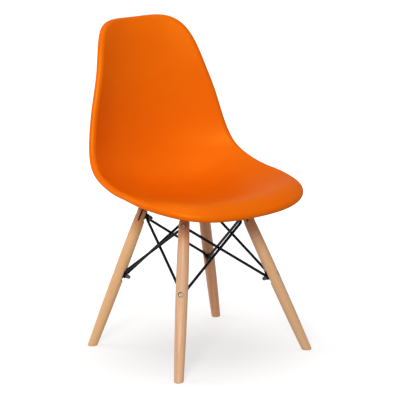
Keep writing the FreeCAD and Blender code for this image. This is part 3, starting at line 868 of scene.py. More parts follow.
@dataclass(frozen=True)
class ShellForm:
    """Rules for the sitter's surface. Lengths run along the centre line from the front edge.

    Fields with two values give that of the front half and that of the back half.
    """

    length: float = 815.0
    front_y: float = -250.2
    front_z: float = 419.0
    wall: float = 4.5
    slopes: Stations = ((0, 3), (110, -11), (220, -4), (300, 5), (360, 18), (420, 43),
                        (480, 69), (540, 85), (640, 90), (730, 81), (815, 66))
    half_widths: Stations = ((0, 240), (100, 233), (200, 222), (300, 214), (400, 206),
                             (500, 194), (600, 175), (700, 150), (815, 137))
    dish_rises: Stations = ((0, 3), (120, 6.7), (240, 10), (360, 14), (480, 16),
                            (600, 17.5), (700, 19.6), (815, 20.7))
    dish_reach: float = 100.0
    corner_powers: Span = (3.66, 4.88)
    corner_setbacks: Span = (24.0, -9.0)
    setback_power: float = 8.0
    droop: float = 22.2
    droop_width: float = 48.0
    droop_power: float = 2.2
    droop_reach: float = 230.0
    roll_radius: float = 11.0
    roll_angle: float = 105.0
    line_step: float = 2.5
    run_out: float = 50.0
    outline_steps: int = 2880

    @cached_property
    def centre(self) -> tuple[np.ndarray, np.ndarray, np.ndarray]:
        """Close points on the centre line, run on past both ends.

        Returns:
            Their lengths, Ys and Zs.
        """
        count = round((self.length + 2 * self.run_out) / self.line_step)
        lengths = np.arange(count + 1) * self.line_step - self.run_out
        angles = np.radians(through(self.slopes, lengths[:-1] + self.line_step / 2))
        y = np.concatenate([[0.0], np.cumsum(np.cos(angles))]) * self.line_step
        z = np.concatenate([[0.0], np.cumsum(np.sin(angles))]) * self.line_step
        start = round(self.run_out / self.line_step)
        return lengths, y - y[start] + self.front_y, z - z[start] + self.front_z

    @cached_property
    def outline(self) -> tuple[np.ndarray, np.ndarray, np.ndarray]:
        """Close points on the edge's crest, from the middle of the front edge and round.

        Returns:
            Their shares of the way round, their lengths and their sides.
        """
        turns = np.linspace(0, 2 * math.pi, self.outline_steps + 1)
        along = np.cos(turns)
        front = along > 0
        power = np.where(front, *self.corner_powers)
        setback = np.where(front, *self.corner_setbacks)
        reach = np.abs(along) ** (2 / power)
        spread = np.abs(np.sin(turns)) ** (2 / power)
        length = self.length / 2 * (1 - np.copysign(reach, along))
        side = through(self.half_widths, length) * np.copysign(spread, np.sin(turns))
        length = length + setback * spread ** 2 * reach ** self.setback_power
        travelled = np.concatenate([[0.0], np.cumsum(np.hypot(np.diff(length), np.diff(side)))])
        return travelled / travelled[-1], length, side

    @cached_property
    def corners(self) -> tuple[float, float]:
        """Where the corners of the outline lie on its first half.

        Returns:
            Share of the way round of the front corner and of the top corner.
        """
        share, length, side = self.outline
        ahead, out = np.gradient(length, share), np.gradient(side, share)
        half = len(share) // 2
        front = int(np.argmax(ahead[:half] > out[:half]))
        top = half - int(np.argmax(ahead[half:front:-1] > -out[half:front:-1]))
        return float(share[front]), float(share[top])

    def crest(self, share: np.ndarray) -> tuple[np.ndarray, np.ndarray]:
        """Length and side of the crest at shares of the way round."""
        places, length, side = self.outline
        return np.interp(share % 1.0, places, length), np.interp(share % 1.0, places, side)

    def sheet(self, length: np.ndarray, side: np.ndarray, droop: np.ndarray | float = 0.0) -> np.ndarray:
        """Point of the surface at a length and a side.

        Args:
            length: place along the centre line.
            side: distance to the side.
            droop: how far the point hangs below the plain section.

        Returns:
            Points in millimetres, one row each.
        """
        lengths, y, z = self.centre
        slope = np.radians(through(self.slopes, length))
        rise = through(self.dish_rises, length) * (side / self.dish_reach) ** 2 - droop
        return np.stack([side, np.interp(length, lengths, y) - np.sin(slope) * rise,
                         np.interp(length, lengths, z) + np.cos(slope) * rise], axis=-1)

    def point(self, share: np.ndarray, reach: np.ndarray | float) -> np.ndarray:
        """Point on the ray from the middle to the crest.

        Args:
            share: share of the way round.
            reach: share of the way out to the crest.

        Returns:
            Points in millimetres, one row each.
        """
        length, side = self.crest(share)
        middle = self.length / 2
        inset = (1 - reach) * np.hypot(length - middle, side)
        front = 1 - smooth_step(length / self.droop_reach)
        droop = self.droop * front * np.maximum(0.0, 1 - inset / self.droop_width) ** self.droop_power
        return self.sheet(middle + (length - middle) * reach, side * reach, droop)

    def frames(self, share: np.ndarray, reach: float) -> tuple[np.ndarray, np.ndarray, np.ndarray]:
        """Point, outward direction and normal on the sitter's side.

        Args:
            share: shares of the way round.
            reach: share of the way out to the crest, above zero.

        Returns:
            Three arrays with one row for each share.
        """
        step_round, step_out = 0.0015, 0.004  # shares of the way, close enough for a tangent
        along = unit(self.point(share + step_round, reach) - self.point(share - step_round, reach))
        outward = self.point(share, reach + step_out) - self.point(share, reach - step_out)
        outward = unit(outward - along * np.sum(along * outward, axis=1, keepdims=True))
        return self.point(share, reach), outward, np.cross(outward, along)


@dataclass
class SeatShell:
    """The moulded seat and back in one piece, with four screw bosses under the seat.

    Its skins are squares of rings, so that no pole lies in the middle. A square starts in the
    middle of the front edge, and square_turns gives that start, the corners and the end in
    eighths of the way round.
    """

    form: ShellForm = field(default_factory=ShellForm)
    rings: int = 64
    roll_steps: int = 12
    lip_steps: int = 7
    square_turns: tuple[int, ...] = (0, 1, 3, 5, 7, 8)
    boss_radius: float = 15.0
    boss_fillet: float = 4.0
    boss_chamfer: float = 0.8
    boss_overlap: float = 1.5
    boss_points: int = 64
    bore_radius: float = 4.6
    bore_depth: float = 12.0
    search_depth: float = 20.0

    def ring_shares(self, ring: int) -> np.ndarray:
        """Spread a ring's points so that the corners of a square fall in the outline's corners.

        Args:
            ring: the ring's number, and an eighth of its count of points.

        Returns:
            Each point's share of the way round.
        """
        front, top = self.form.corners
        steps = np.arange(8 * ring) / ring
        return np.interp(steps, self.square_turns, [0, front, top, 1 - top, 1 - front, 1])

    def square_faces(self) -> np.ndarray:
        """Number the quads of a square of rings, which leaves no pole in the middle.

        Returns:
            Four vertex numbers in each row. The middle is vertex 0 and ring after ring follows.
        """
        size = self.rings
        numbers = np.zeros((2 * size + 1, 2 * size + 1), int)
        for ring in range(1, size + 1):
            steps = np.arange(8 * ring)
            across = np.interp(steps / ring, self.square_turns, [0, 1, 1, -1, -1, 0])
            ahead = np.interp(steps / ring, self.square_turns, [1, 1, -1, -1, 1, 1])
            rows = np.rint(ahead * ring).astype(int) + size
            columns = np.rint(across * ring).astype(int) + size
            numbers[rows, columns] = 1 + 4 * ring * (ring - 1) + steps
        return np.stack([numbers[:-1, :-1], numbers[1:, :-1], numbers[1:, 1:], numbers[:-1, 1:]],
                        axis=-1).reshape(-1, 4)

    def skins(self) -> tuple[np.ndarray, np.ndarray]:
        """Find the points of both skins.

        Returns:
            Points of the upper and of the under skin, from the middle out.
        """
        middle = np.array([self.form.length / 2])
        point = self.form.sheet(middle, np.zeros(1))
        slope = math.radians(float(through(self.form.slopes, middle)[0]))
        normal = np.array([[0.0, -math.sin(slope), math.cos(slope)]])
        upper, under = [point], [point - normal * self.form.wall]
        for ring in range(1, self.rings + 1):
            point, _, normal = self.form.frames(self.ring_shares(ring), ring / self.rings)
            upper.append(point)
            under.append(point - normal * self.form.wall)
        return np.concatenate(upper), np.concatenate(under)

    def edge_loops(self) -> tuple[Loops, list[float]]:
        """Find the loops over the rolled edge, round its lip and back.

        Returns:
            The loops, and how near each is to the lip, up to one.
        """
        point, outward, normal = self.form.frames(self.ring_shares(self.rings), 1.0)
        radius, wall = self.form.roll_radius, self.form.wall

        def rolled(angle: float, depth: float) -> np.ndarray:
            """Find one loop.

            Args:
                angle: how far round the roll it lies, in degrees.
                depth: how deep in the wall it lies.

            Returns:
                Its points.
            """
            turn = math.radians(angle)
            reach = radius - depth
            return (point + outward * (reach * math.sin(turn))
                    - normal * (radius - reach * math.cos(turn)))

        angles = [self.form.roll_angle * (step + 1) / self.roll_steps for step in range(self.roll_steps)]
        loops = [rolled(angle, 0.0) for angle in angles]
        nearness = [angle / self.form.roll_angle for angle in angles]
        for step in range(1, self.lip_steps):
            turn = math.pi * step / self.lip_steps
            beyond = math.degrees(wall / 2 * math.sin(turn) / (radius - wall / 2))
            loops.append(rolled(self.form.roll_angle + beyond, wall / 2 * (1 - math.cos(turn))))
            nearness.append(1.0)
        loops += [rolled(angle, wall) for angle in reversed(angles)]
        nearness += [angle / self.form.roll_angle for angle in reversed(angles)]
        return loops, nearness

    def skin_object(self) -> Object:
        """Build the bare shell.

        Returns:
            One closed mesh with its rim attribute.
        """
        upper, under = self.skins()
        loops, nearness = self.edge_loops()
        count = 8 * self.rings
        square = self.square_faces()
        first_edge = len(upper)
        first_under = first_edge + len(loops) * count
        rim_start = len(upper) - count
        starts = [rim_start] + [first_edge + row * count for row in range(len(loops))]
        starts.append(first_under + rim_start)
        steps = np.arange(count)
        after = (steps + 1) % count
        strips = [np.stack([a + steps, b + steps, b + after, a + after], axis=-1)
                  for a, b in zip(starts, starts[1:])]
        faces = np.concatenate([square, *strips, square[:, ::-1] + first_under])
        shell = new_object("seat_shell_moulding", np.concatenate([upper, *loops, under]), faces.tolist())
        rim = np.concatenate([np.zeros(len(upper)), np.repeat(nearness, count), np.zeros(len(under))])
        add_attribute(shell, "rim", rim)
        return shell

    def boss(self, shell: Object, x: float, y: float) -> Object:
        """Build one boss that flares into the under skin, with its bore.

        Args:
            shell: the bare shell, whose under skin stops the boss.
            x: the boss's place in millimetres.
            y: the boss's place in millimetres.

        Returns:
            A closed tube that ends inside the shell's wall.
        """
        angles = circle(self.boss_points)
        directions = np.stack([np.cos(angles), np.sin(angles)], axis=1)
        chamfer, fillet, bore = self.boss_chamfer, self.boss_fillet, self.bore_radius
        outer = self.boss_radius + fillet
        below = BOSS_FACE - self.search_depth
        skin = np.array([shell.ray_cast((across * MM, ahead * MM, below * MM), (0, 0, 1))[1].z / MM
                         for across, ahead in directions * outer + (x, y)])
        bore_end = BOSS_FACE + self.bore_depth
        rings = [(BORE_END_RADIUS, bore_end), (bore, bore_end), (bore, BOSS_FACE + chamfer / 2),
                 (bore + chamfer / 2, BOSS_FACE), (self.boss_radius - chamfer, BOSS_FACE),
                 (self.boss_radius - chamfer * 0.3, BOSS_FACE + chamfer * 0.3),
                 (self.boss_radius, BOSS_FACE + chamfer)]
        for degrees in range(0, 91, 15):
            turn = math.radians(degrees)
            rings.append((outer - fillet * math.cos(turn), skin - fillet + fillet * math.sin(turn)))
        rings += [(outer, skin + self.boss_overlap),
                  (self.boss_radius / 2, skin.mean() + self.boss_overlap)]
        return loft("boss", [np.column_stack([directions * reach + (x, y),
                                              np.broadcast_to(heights, len(angles))])
                             for reach, heights in rings])

    def build(self) -> list[Object]:
        """Build and dress the shell.

        Returns:
            The shell as the only piece.
        """
        shell = self.skin_object()
        combine(shell, [self.boss(shell, x, y) for x, y in boss_centres()], "UNION")
        tidy_mesh(shell)
        return [dress(shell, SHELL_FINISH, ["seat_shell"])]


# Base


@dataclass(frozen=True)
class LegAxis:
    """Axis and directions of one leg, in millimetres."""

    name: str
    side_x: int
    side_y: int
    foot_reach: float = 194.6
    lean: float = 0.293
    shift_y: float = 7.8

    @cached_property
    def foot(self) -> np.ndarray:
        """Where the axis meets the floor."""
        return np.array([self.side_x * self.foot_reach, self.side_y * self.foot_reach + self.shift_y, 0.0])

    @cached_property
    def up(self) -> np.ndarray:
        """Direction from the foot to the top."""
        return unit(np.array([-self.side_x * self.lean, -self.side_y * self.lean, 1.0]))

    @cached_property
    def radial(self) -> np.ndarray:
        """Level direction from the middle of the base out to the leg."""
        return unit(np.array([self.side_x, self.side_y, 0.0]))

    @cached_property
    def across(self) -> np.ndarray:
        """Level direction square to the leg."""
        return np.cross((0.0, 0.0, 1.0), self.radial)

    @cached_property
    def outward(self) -> np.ndarray:
        """Direction square to the leg, away from the middle of the base."""
        return np.cross(self.across, self.up)

    def at(self, height: float) -> np.ndarray:
        """Point of the axis at a height above the floor."""
        return self.foot + self.up * (height / self.up[2])

    def joint(self, height: float, reach: float) -> np.ndarray:
        """Point a reach inwards from the axis, square to the leg."""
        return self.at(height) - self.outward * reach

    def to_world(self, local: np.ndarray, height: float = 0.0) -> np.ndarray:
        """Move points drawn with X outwards and Z up the leg to the axis at a height."""
        return local @ np.stack([self.outward, self.across, self.up]) + self.at(height)

    def to_local(self, places: np.ndarray) -> np.ndarray:
        """Turn points in the chair's frame into X outwards, Y across and Z up from the foot."""
        return (places - self.foot) @ np.stack([self.outward, self.across, self.up]).T


LEG_AXES = (LegAxis("front_right", -1, -1), LegAxis("front_left", 1, -1),
            LegAxis("back_left", 1, 1), LegAxis("back_right", -1, 1))
# Heights of the joints, and distances from the leg's axis of what is bolted there.
UPPER_JOINT = 345.0
MIDDLE_JOINT = 191.5
JOINT_FLAT = 11.0
PLATE_THICKNESS = 1.5
EYE_THICKNESS = 3.0
COUNTERBORE_RADIUS = 6.4
COUNTERBORE_FLOOR = 8.4
# The seat's four bosses, and the layers under each.
BOSS_REACH = 70.0
BOSS_FACE = 378.0
PAD_THICKNESS = 2.0
BAR_THICKNESS = 3.0
# Screws, bolts and the holes that they pass.
BOLT_RADIUS = 3.0
HOLE_RADIUS = 3.3
SOCKET_WIDTH = 4.0
SOCKET_DEPTH = 2.4
THREAD_LEAD_IN = 0.6
BORE_END_RADIUS = 0.4
END_GAP = 1.0


def boss_centres() -> list[Span]:
    """Give the places of the seat's four bosses, in millimetres."""
    return [(axis.side_x * BOSS_REACH, axis.side_y * BOSS_REACH + axis.shift_y) for axis in LEG_AXES]


def box_tool(axis: LegAxis, height: float, low: Sequence[float], high: Sequence[float]) -> Object:
    """Make a cutting box in a leg's own frame.

    Args:
        axis: the leg.
        height: height above the floor of the frame's origin.
        low: lowest corner in that frame.
        high: highest corner in that frame.

    Returns:
        A closed box.
    """
    (x0, y0, z0), (x1, y1, z1) = low, high
    square = np.array([(x0, y0), (x1, y0), (x1, y1), (x0, y1)])
    loops = [axis.to_world(np.column_stack([square, np.full(4, z)]), height) for z in (z0, z1)]
    return loft("cutter", loops)


def drill_tool(start: np.ndarray, end: np.ndarray, radius: float, count: int = 40) -> Object:
    """Make a round cutting bar between two points.

    Args:
        start: middle of one end.
        end: middle of the other end.
        radius: the bar's radius.
        count: points round it.

    Returns:
        A closed bar.
    """
    not_along = (0.31, 0.17, 0.93)  # a direction that no hole of the chair has
    way = unit(end - start)
    side = unit(np.cross(way, not_along))
    lift = np.cross(way, side)
    angles = circle(count)[:, None]
    ring = side * np.cos(angles) * radius + lift * np.sin(angles) * radius
    return loft("drill", [start + ring, end + ring])


@dataclass
class TurnedLegs:
    """Four turned legs, slotted for the cross bars and bored and flatted at their joints.

    Each leg is tinted with its own painted shade, as light and shade fell on it, and reads its grain
    at a place of its own, a grain shift in metres on from the leg before.
    """

    top: float = 358.0
    radii: Stations = ((-20, 11.1), (0, 11.6), (90, 13.8), (190, 14.9), (250, 15.0), (310, 14.3),
                       (358, 13.0))
    end_rounding: float = 2.5
    foot_zone: float = 30.0
    columns: int = 72
    rows: int = 26
    rounding_steps: int = 5
    cap_shares: Span = (0.05, 0.5)
    slot_end: float = 331.0
    slot_width: float = 4.2
    flat_height: float = 34.0
    tool_reach: float = 40.0
    sharp_degrees: float = 30.0
    grain_shift: tuple[float, float, float] = (0.31, 0.17, 0.0)
    # Painted shade: a multiplier for each leg, darker or redder as light and shade fell on it.
    leg_shade_tones: tuple[tuple[float, float, float], ...] = ((0.88, 0.87, 0.87), (0.87, 0.87, 0.82),
                                                     (1.0, 0.84, 0.80), (1.0, 0.99, 0.86))

    def blank(self, axis: LegAxis) -> Object:
        """Build the turned leg, rounded at both ends and cut off level with the floor.

        Args:
            axis: the leg's axis.

        Returns:
            A closed mesh.
        """
        top = self.top * (1 / axis.up[2])
        tilt = axis.outward[2] / axis.up[2]
        angles = circle(self.columns)
        rounding = self.end_rounding
        quarter = [share * math.pi / 2 for share in np.linspace(0, 1, self.rounding_steps)]
        heights = [(rounding * (1 - math.cos(turn)), rounding * (1 - math.sin(turn))) for turn in quarter]
        heights += [(height, 0.0) for height in np.linspace(rounding * 2, top - rounding, self.rows)]
        heights += [(top - rounding * (1 - math.sin(turn)), rounding * (1 - math.cos(turn)))
                    for turn in quarter[1:]]
        loops = []
        for height, inset in heights:
            radius = float(through(self.radii, height * axis.up[2])) - inset
            x, y = radius * np.cos(angles), radius * np.sin(angles)
            levelled = max(0.0, 1 - height / self.foot_zone)
            loops.append(np.column_stack([x, y, height - x * tilt * levelled]))
        foot = [self.shrunk(loops[0], share) for share in self.cap_shares]
        cap = [self.shrunk(loops[-1], share) for share in reversed(self.cap_shares)]
        return loft(axis.name + "_turned_leg", [axis.to_world(loop) for loop in foot + loops + cap])

    @staticmethod
    def shrunk(loop: np.ndarray, share: float) -> np.ndarray:
        """Draw a loop in towards its own middle."""
        return loop.mean(axis=0) + (loop - loop.mean(axis=0)) * share

    def tools(self, axis: LegAxis) -> list[Object]:
        """Make the cutters for one leg's slot, flats, holes and counterbores.

        Args:
            axis: the leg's axis.

        Returns:
            The closed cutters.
        """
        far, half_slot, half_flat = self.tool_reach, self.slot_width / 2, self.flat_height / 2
        tools = [box_tool(axis, self.slot_end, (-half_slot, -far, 0),
                          (half_slot, far, far + self.top - self.slot_end))]
        for height in (UPPER_JOINT, MIDDLE_JOINT):
            tools.append(box_tool(axis, height, (-far, -far / 2, -half_flat),
                                  (-JOINT_FLAT, far / 2, half_flat)))
            for start, radius in ((far, HOLE_RADIUS), (-COUNTERBORE_FLOOR, COUNTERBORE_RADIUS)):
                tools.append(drill_tool(axis.joint(height, start), axis.joint(height, -far), radius))
        return tools

    def build(self) -> list[Object]:
        """Build and dress the four legs.

        Returns:
            The legs.
        """
        pieces = []
        for number, axis in enumerate(LEG_AXES):
            leg = combine(self.blank(axis), self.tools(axis), "DIFFERENCE")
            tidy_mesh(leg, self.sharp_degrees)
            local = axis.to_local(vertex_places(leg))
            add_attribute(leg, "leg_place", local * MM)
            add_attribute(leg, "grain", local * MM + np.array(self.grain_shift) * (number + 1))
            # Each leg's painted shade, multiplied into its colour.
            add_attribute(leg, "tone", np.tile(self.leg_shade_tones[number], (len(local), 1)))
            pieces.append(dress(leg, WOOD_FINISH, [axis.name + "_leg"]))
        return pieces


def bent(points: list[np.ndarray], radii: list[float]) -> list[np.ndarray]:
    """Replace the corners of a line by arcs.

    Args:
        points: the line's corners in a plane.
        radii: radius at each inner corner.

    Returns:
        Close points along the line.
    """
    arc_points = 9
    line = [points[0]]
    for before, corner, after, radius in zip(points, points[1:], points[2:], radii):
        inward, onward = unit(before - corner), unit(after - corner)
        half = (math.pi - math.acos(float(np.clip(inward @ onward, -1, 1)))) / 2
        centre = corner + unit(inward + onward) * (radius / math.cos(half))
        start = corner + inward * (radius * math.tan(half)) - centre
        end = corner + onward * (radius * math.tan(half)) - centre
        for share in np.linspace(0, 1, arc_points):
            angle = 2 * half
            line.append(centre + (start * math.sin((1 - share) * angle)
                                  + end * math.sin(share * angle)) / math.sin(angle))
    return line + [points[-1]]


@dataclass
class CrossBars:
    """Two flat bars that cross under the seat and end in blades in the legs' slots."""

    width: float = 22.0
    bend_radius: float = 8.0
    step_reach: float = 32.0
    step_run: float = 8.0
    step_radius: float = 6.0
    blade_end: float = 333.0
    corner_power: float = 22.0
    points: int = 48
    drill_reach: float = 9.0
    sharp_degrees: float = 45.0

    def bar(self, name: str, first: LegAxis, second: LegAxis, step: float) -> Object:
        """Build one bar.

        Args:
            name: the piece's name.
            first: the leg at one end.
            second: the leg at the other end.
            step: how far the middle is raised to pass over the other bar.

        Returns:
            The bar with its holes.
        """
        level = BOSS_FACE - PAD_THICKNESS - BAR_THICKNESS / 2
        middle = np.array([0.0, second.shift_y, 0.0])
        half = [np.array([float(second.radial @ (second.at(height) - middle)), height])
                for height in (level, self.blade_end)]
        radii = [self.bend_radius]
        if step:
            half = [np.array([self.step_reach - self.step_run, level + step]),
                    np.array([self.step_reach, level])] + half
            radii = [self.step_radius, self.step_radius] + radii
        line = bent([point * (-1, 1) for point in reversed(half)] + half, radii[::-1] + radii)
        out, up = second.radial, np.array([0.0, 0.0, 1.0])
        stations = [Station(middle + out * x + up * z, np.cross(out, up), up * ahead - out * rise,
                            self.width / 2, 1.0)
                    for (x, z), (ahead, rise) in zip(line, unit(np.gradient(np.array(line), axis=0)))]
        section = Section(BAR_THICKNESS / 2, BAR_THICKNESS, self.corner_power, self.points)
        bar = section.sweep(name, stations, BLACK_FINISH)
        tools = []
        for axis in (first, second):
            screw = middle + axis.radial * (BOSS_REACH * math.sqrt(2))
            for start, end in ((axis.joint(UPPER_JOINT, self.width), axis.joint(UPPER_JOINT, -self.width)),
                               (screw + up * (level - self.drill_reach),
                                screw + up * (level + self.drill_reach))):
                tools.append(drill_tool(start, end, HOLE_RADIUS))
        return combine(bar, tools, "DIFFERENCE")

    def build(self) -> list[Object]:
        """Build and dress both bars.

        Returns:
            The bars.
        """
        pieces = []
        for name, first, second, step in (("lower_cross_bar", 0, 2, 0.0),
                                          ("upper_cross_bar", 1, 3, BAR_THICKNESS)):
            bar = self.bar(name + "_strip", LEG_AXES[first], LEG_AXES[second], step)
            tidy_mesh(bar, self.sharp_degrees)
            pieces.append(dress(bar, BLACK_FINISH, [name]))
        return pieces


@dataclass
class BraceRods:
    """Eight steel rods that cross in pairs between neighbouring legs.

    Fields with two values give that of the outer rod and that of the inner one.
    """

    radius: float = 3.5
    eye_radius: float = 7.0
    eye_angles: tuple[int, ...] = (6, 14, 24, 36, 50, 66, 83, 100, 116)
    flat_length: float = 5.2
    tongue_lengths: Span = (11.0, 8.0)
    tongue_steps: int = 10
    arm_lengths: Span = (22.0, 10.0)
    arm_width: float = 9.0
    clearance: float = 0.3
    bend_radii: Span = (8.0, 4.0)
    step: float = 12.0
    eye_power: float = 9.0
    points: int = 28
    drill_span: Span = (2.0, 34.0)
    drill_points: int = 32

    @staticmethod
    def seat(layer: int) -> float:
        """Distance from the leg's axis to the face that an eye of this layer lies on."""
        return JOINT_FLAT + PLATE_THICKNESS + layer * EYE_THICKNESS

    def end(self, axis: LegAxis, height: float, layer: int, towards: np.ndarray) -> list[Station]:
        """Stations of one flattened end, from the far side of its eye to its arm's end.

        Args:
            axis: the leg that the eye is bolted to.
            height: the joint's height.
            layer: 0 for the eye against the plate, 1 for the one on top of it.
            towards: direction of the rod's other end.

        Returns:
            The stations.
        """
        inward = -axis.outward
        arm = unit(towards - inward * (towards @ inward))
        eye = axis.joint(height, self.seat(layer) + EYE_THICKNESS / 2)
        lift = self.radius + self.clearance - EYE_THICKNESS / 2
        tongue = self.tongue_lengths[layer]
        distances = [-self.eye_radius * math.cos(math.radians(angle)) for angle in self.eye_angles]
        distances += list(np.linspace(self.flat_length, tongue, self.tongue_steps))
        stations = []
        for distance in distances:
            ease = float(smooth_step((distance - self.flat_length) / (tongue - self.flat_length)))
            disc = math.sqrt(max(self.eye_radius ** 2 - distance ** 2, 0.0))
            strip = self.arm_width / 2 + (self.radius - self.arm_width / 2) * ease
            stations.append(Station(eye + arm * distance + inward * (lift * ease), np.cross(inward, arm),
                                    inward, disc if distance < 0 else max(disc, strip), 1 - ease))
        return stations

    def filled(self, points: list[np.ndarray]) -> list[np.ndarray]:
        """Add points to a line's long runs, so that none is much longer than a step.

        Args:
            points: the line's points.

        Returns:
            The same points with more between them.
        """
        line = points[:1]
        for before, after in zip(points, points[1:]):
            count = max(1, round(float(np.linalg.norm(after - before)) / self.step))
            line += [before + (after - before) * (number / count) for number in range(1, count + 1)]
        return line

    def rod(self, name: str, upper: LegAxis, lower: LegAxis, layer: int) -> Object:
        """Build one rod from the upper joint of a leg to the middle joint of its neighbour.

        Args:
            name: the piece's name.
            upper: the leg at the rod's upper end.
            lower: the leg at its lower end.
            layer: 0 for the rod next to the legs and 1 for the one inside it.

        Returns:
            The rod with its bolt holes.
        """
        joints = ((upper, UPPER_JOINT), (lower, MIDDLE_JOINT))
        direction = unit(lower.joint(MIDDLE_JOINT, JOINT_FLAT) - upper.joint(UPPER_JOINT, JOINT_FLAT))
        first = self.end(upper, UPPER_JOINT, layer, direction)
        last = [replace(station, side_axis=-station.side_axis)
                for station in reversed(self.end(lower, MIDDLE_JOINT, layer, -direction))]
        depth = self.seat(layer) + self.radius + self.clearance
        knuckles = [axis.joint(height, depth) for axis, height in joints]
        arms = [unit(way - axis.outward * (way @ axis.outward)) * self.arm_lengths[layer]
                for axis, way in ((upper, direction), (lower, -direction))]
        corners = [knuckles[0], knuckles[0] + arms[0], knuckles[1] + arms[1], knuckles[1]]
        path = np.array(self.filled(bent(corners, [self.bend_radii[layer]] * 2)[1:-1]))
        track = np.concatenate([[first[-1].centre], path, [last[0].centre]])
        ways = unit(np.gradient(track, axis=0))[1:-1]
        travelled = np.cumsum(np.linalg.norm(np.diff(track, axis=0), axis=1))
        middle = []
        for place, way, share in zip(path, ways, travelled / travelled[-1]):
            press = first[0].press_axis * (1 - share) + last[-1].press_axis * share
            press = unit(press - way * (press @ way))
            middle.append(Station(place, np.cross(press, way), press, self.radius, 0.0))
        section = Section(self.radius, EYE_THICKNESS, self.eye_power, self.points)
        rod = section.sweep(name, first + middle + last, BLACK_FINISH)
        tools = [drill_tool(*(axis.joint(height, reach) for reach in self.drill_span), HOLE_RADIUS,
                            self.drill_points) for axis, height in joints]
        return combine(rod, tools, "DIFFERENCE")

    def build(self) -> list[Object]:
        """Build and dress the eight rods.

        Returns:
            The rods.
        """
        pieces = []
        for side, start, end in (("front", 0, 1), ("left", 1, 2), ("back", 2, 3), ("right", 3, 0)):
            for place, upper, lower, layer in (("outer", end, start, 0), ("inner", start, end, 1)):
                node = f"{side}_{place}_rod"
                rod = self.rod(node + "_bent", LEG_AXES[upper], LEG_AXES[lower], layer)
                tidy_mesh(rod)
                pieces.append(dress(rod, BLACK_FINISH, [node]))
        return pieces


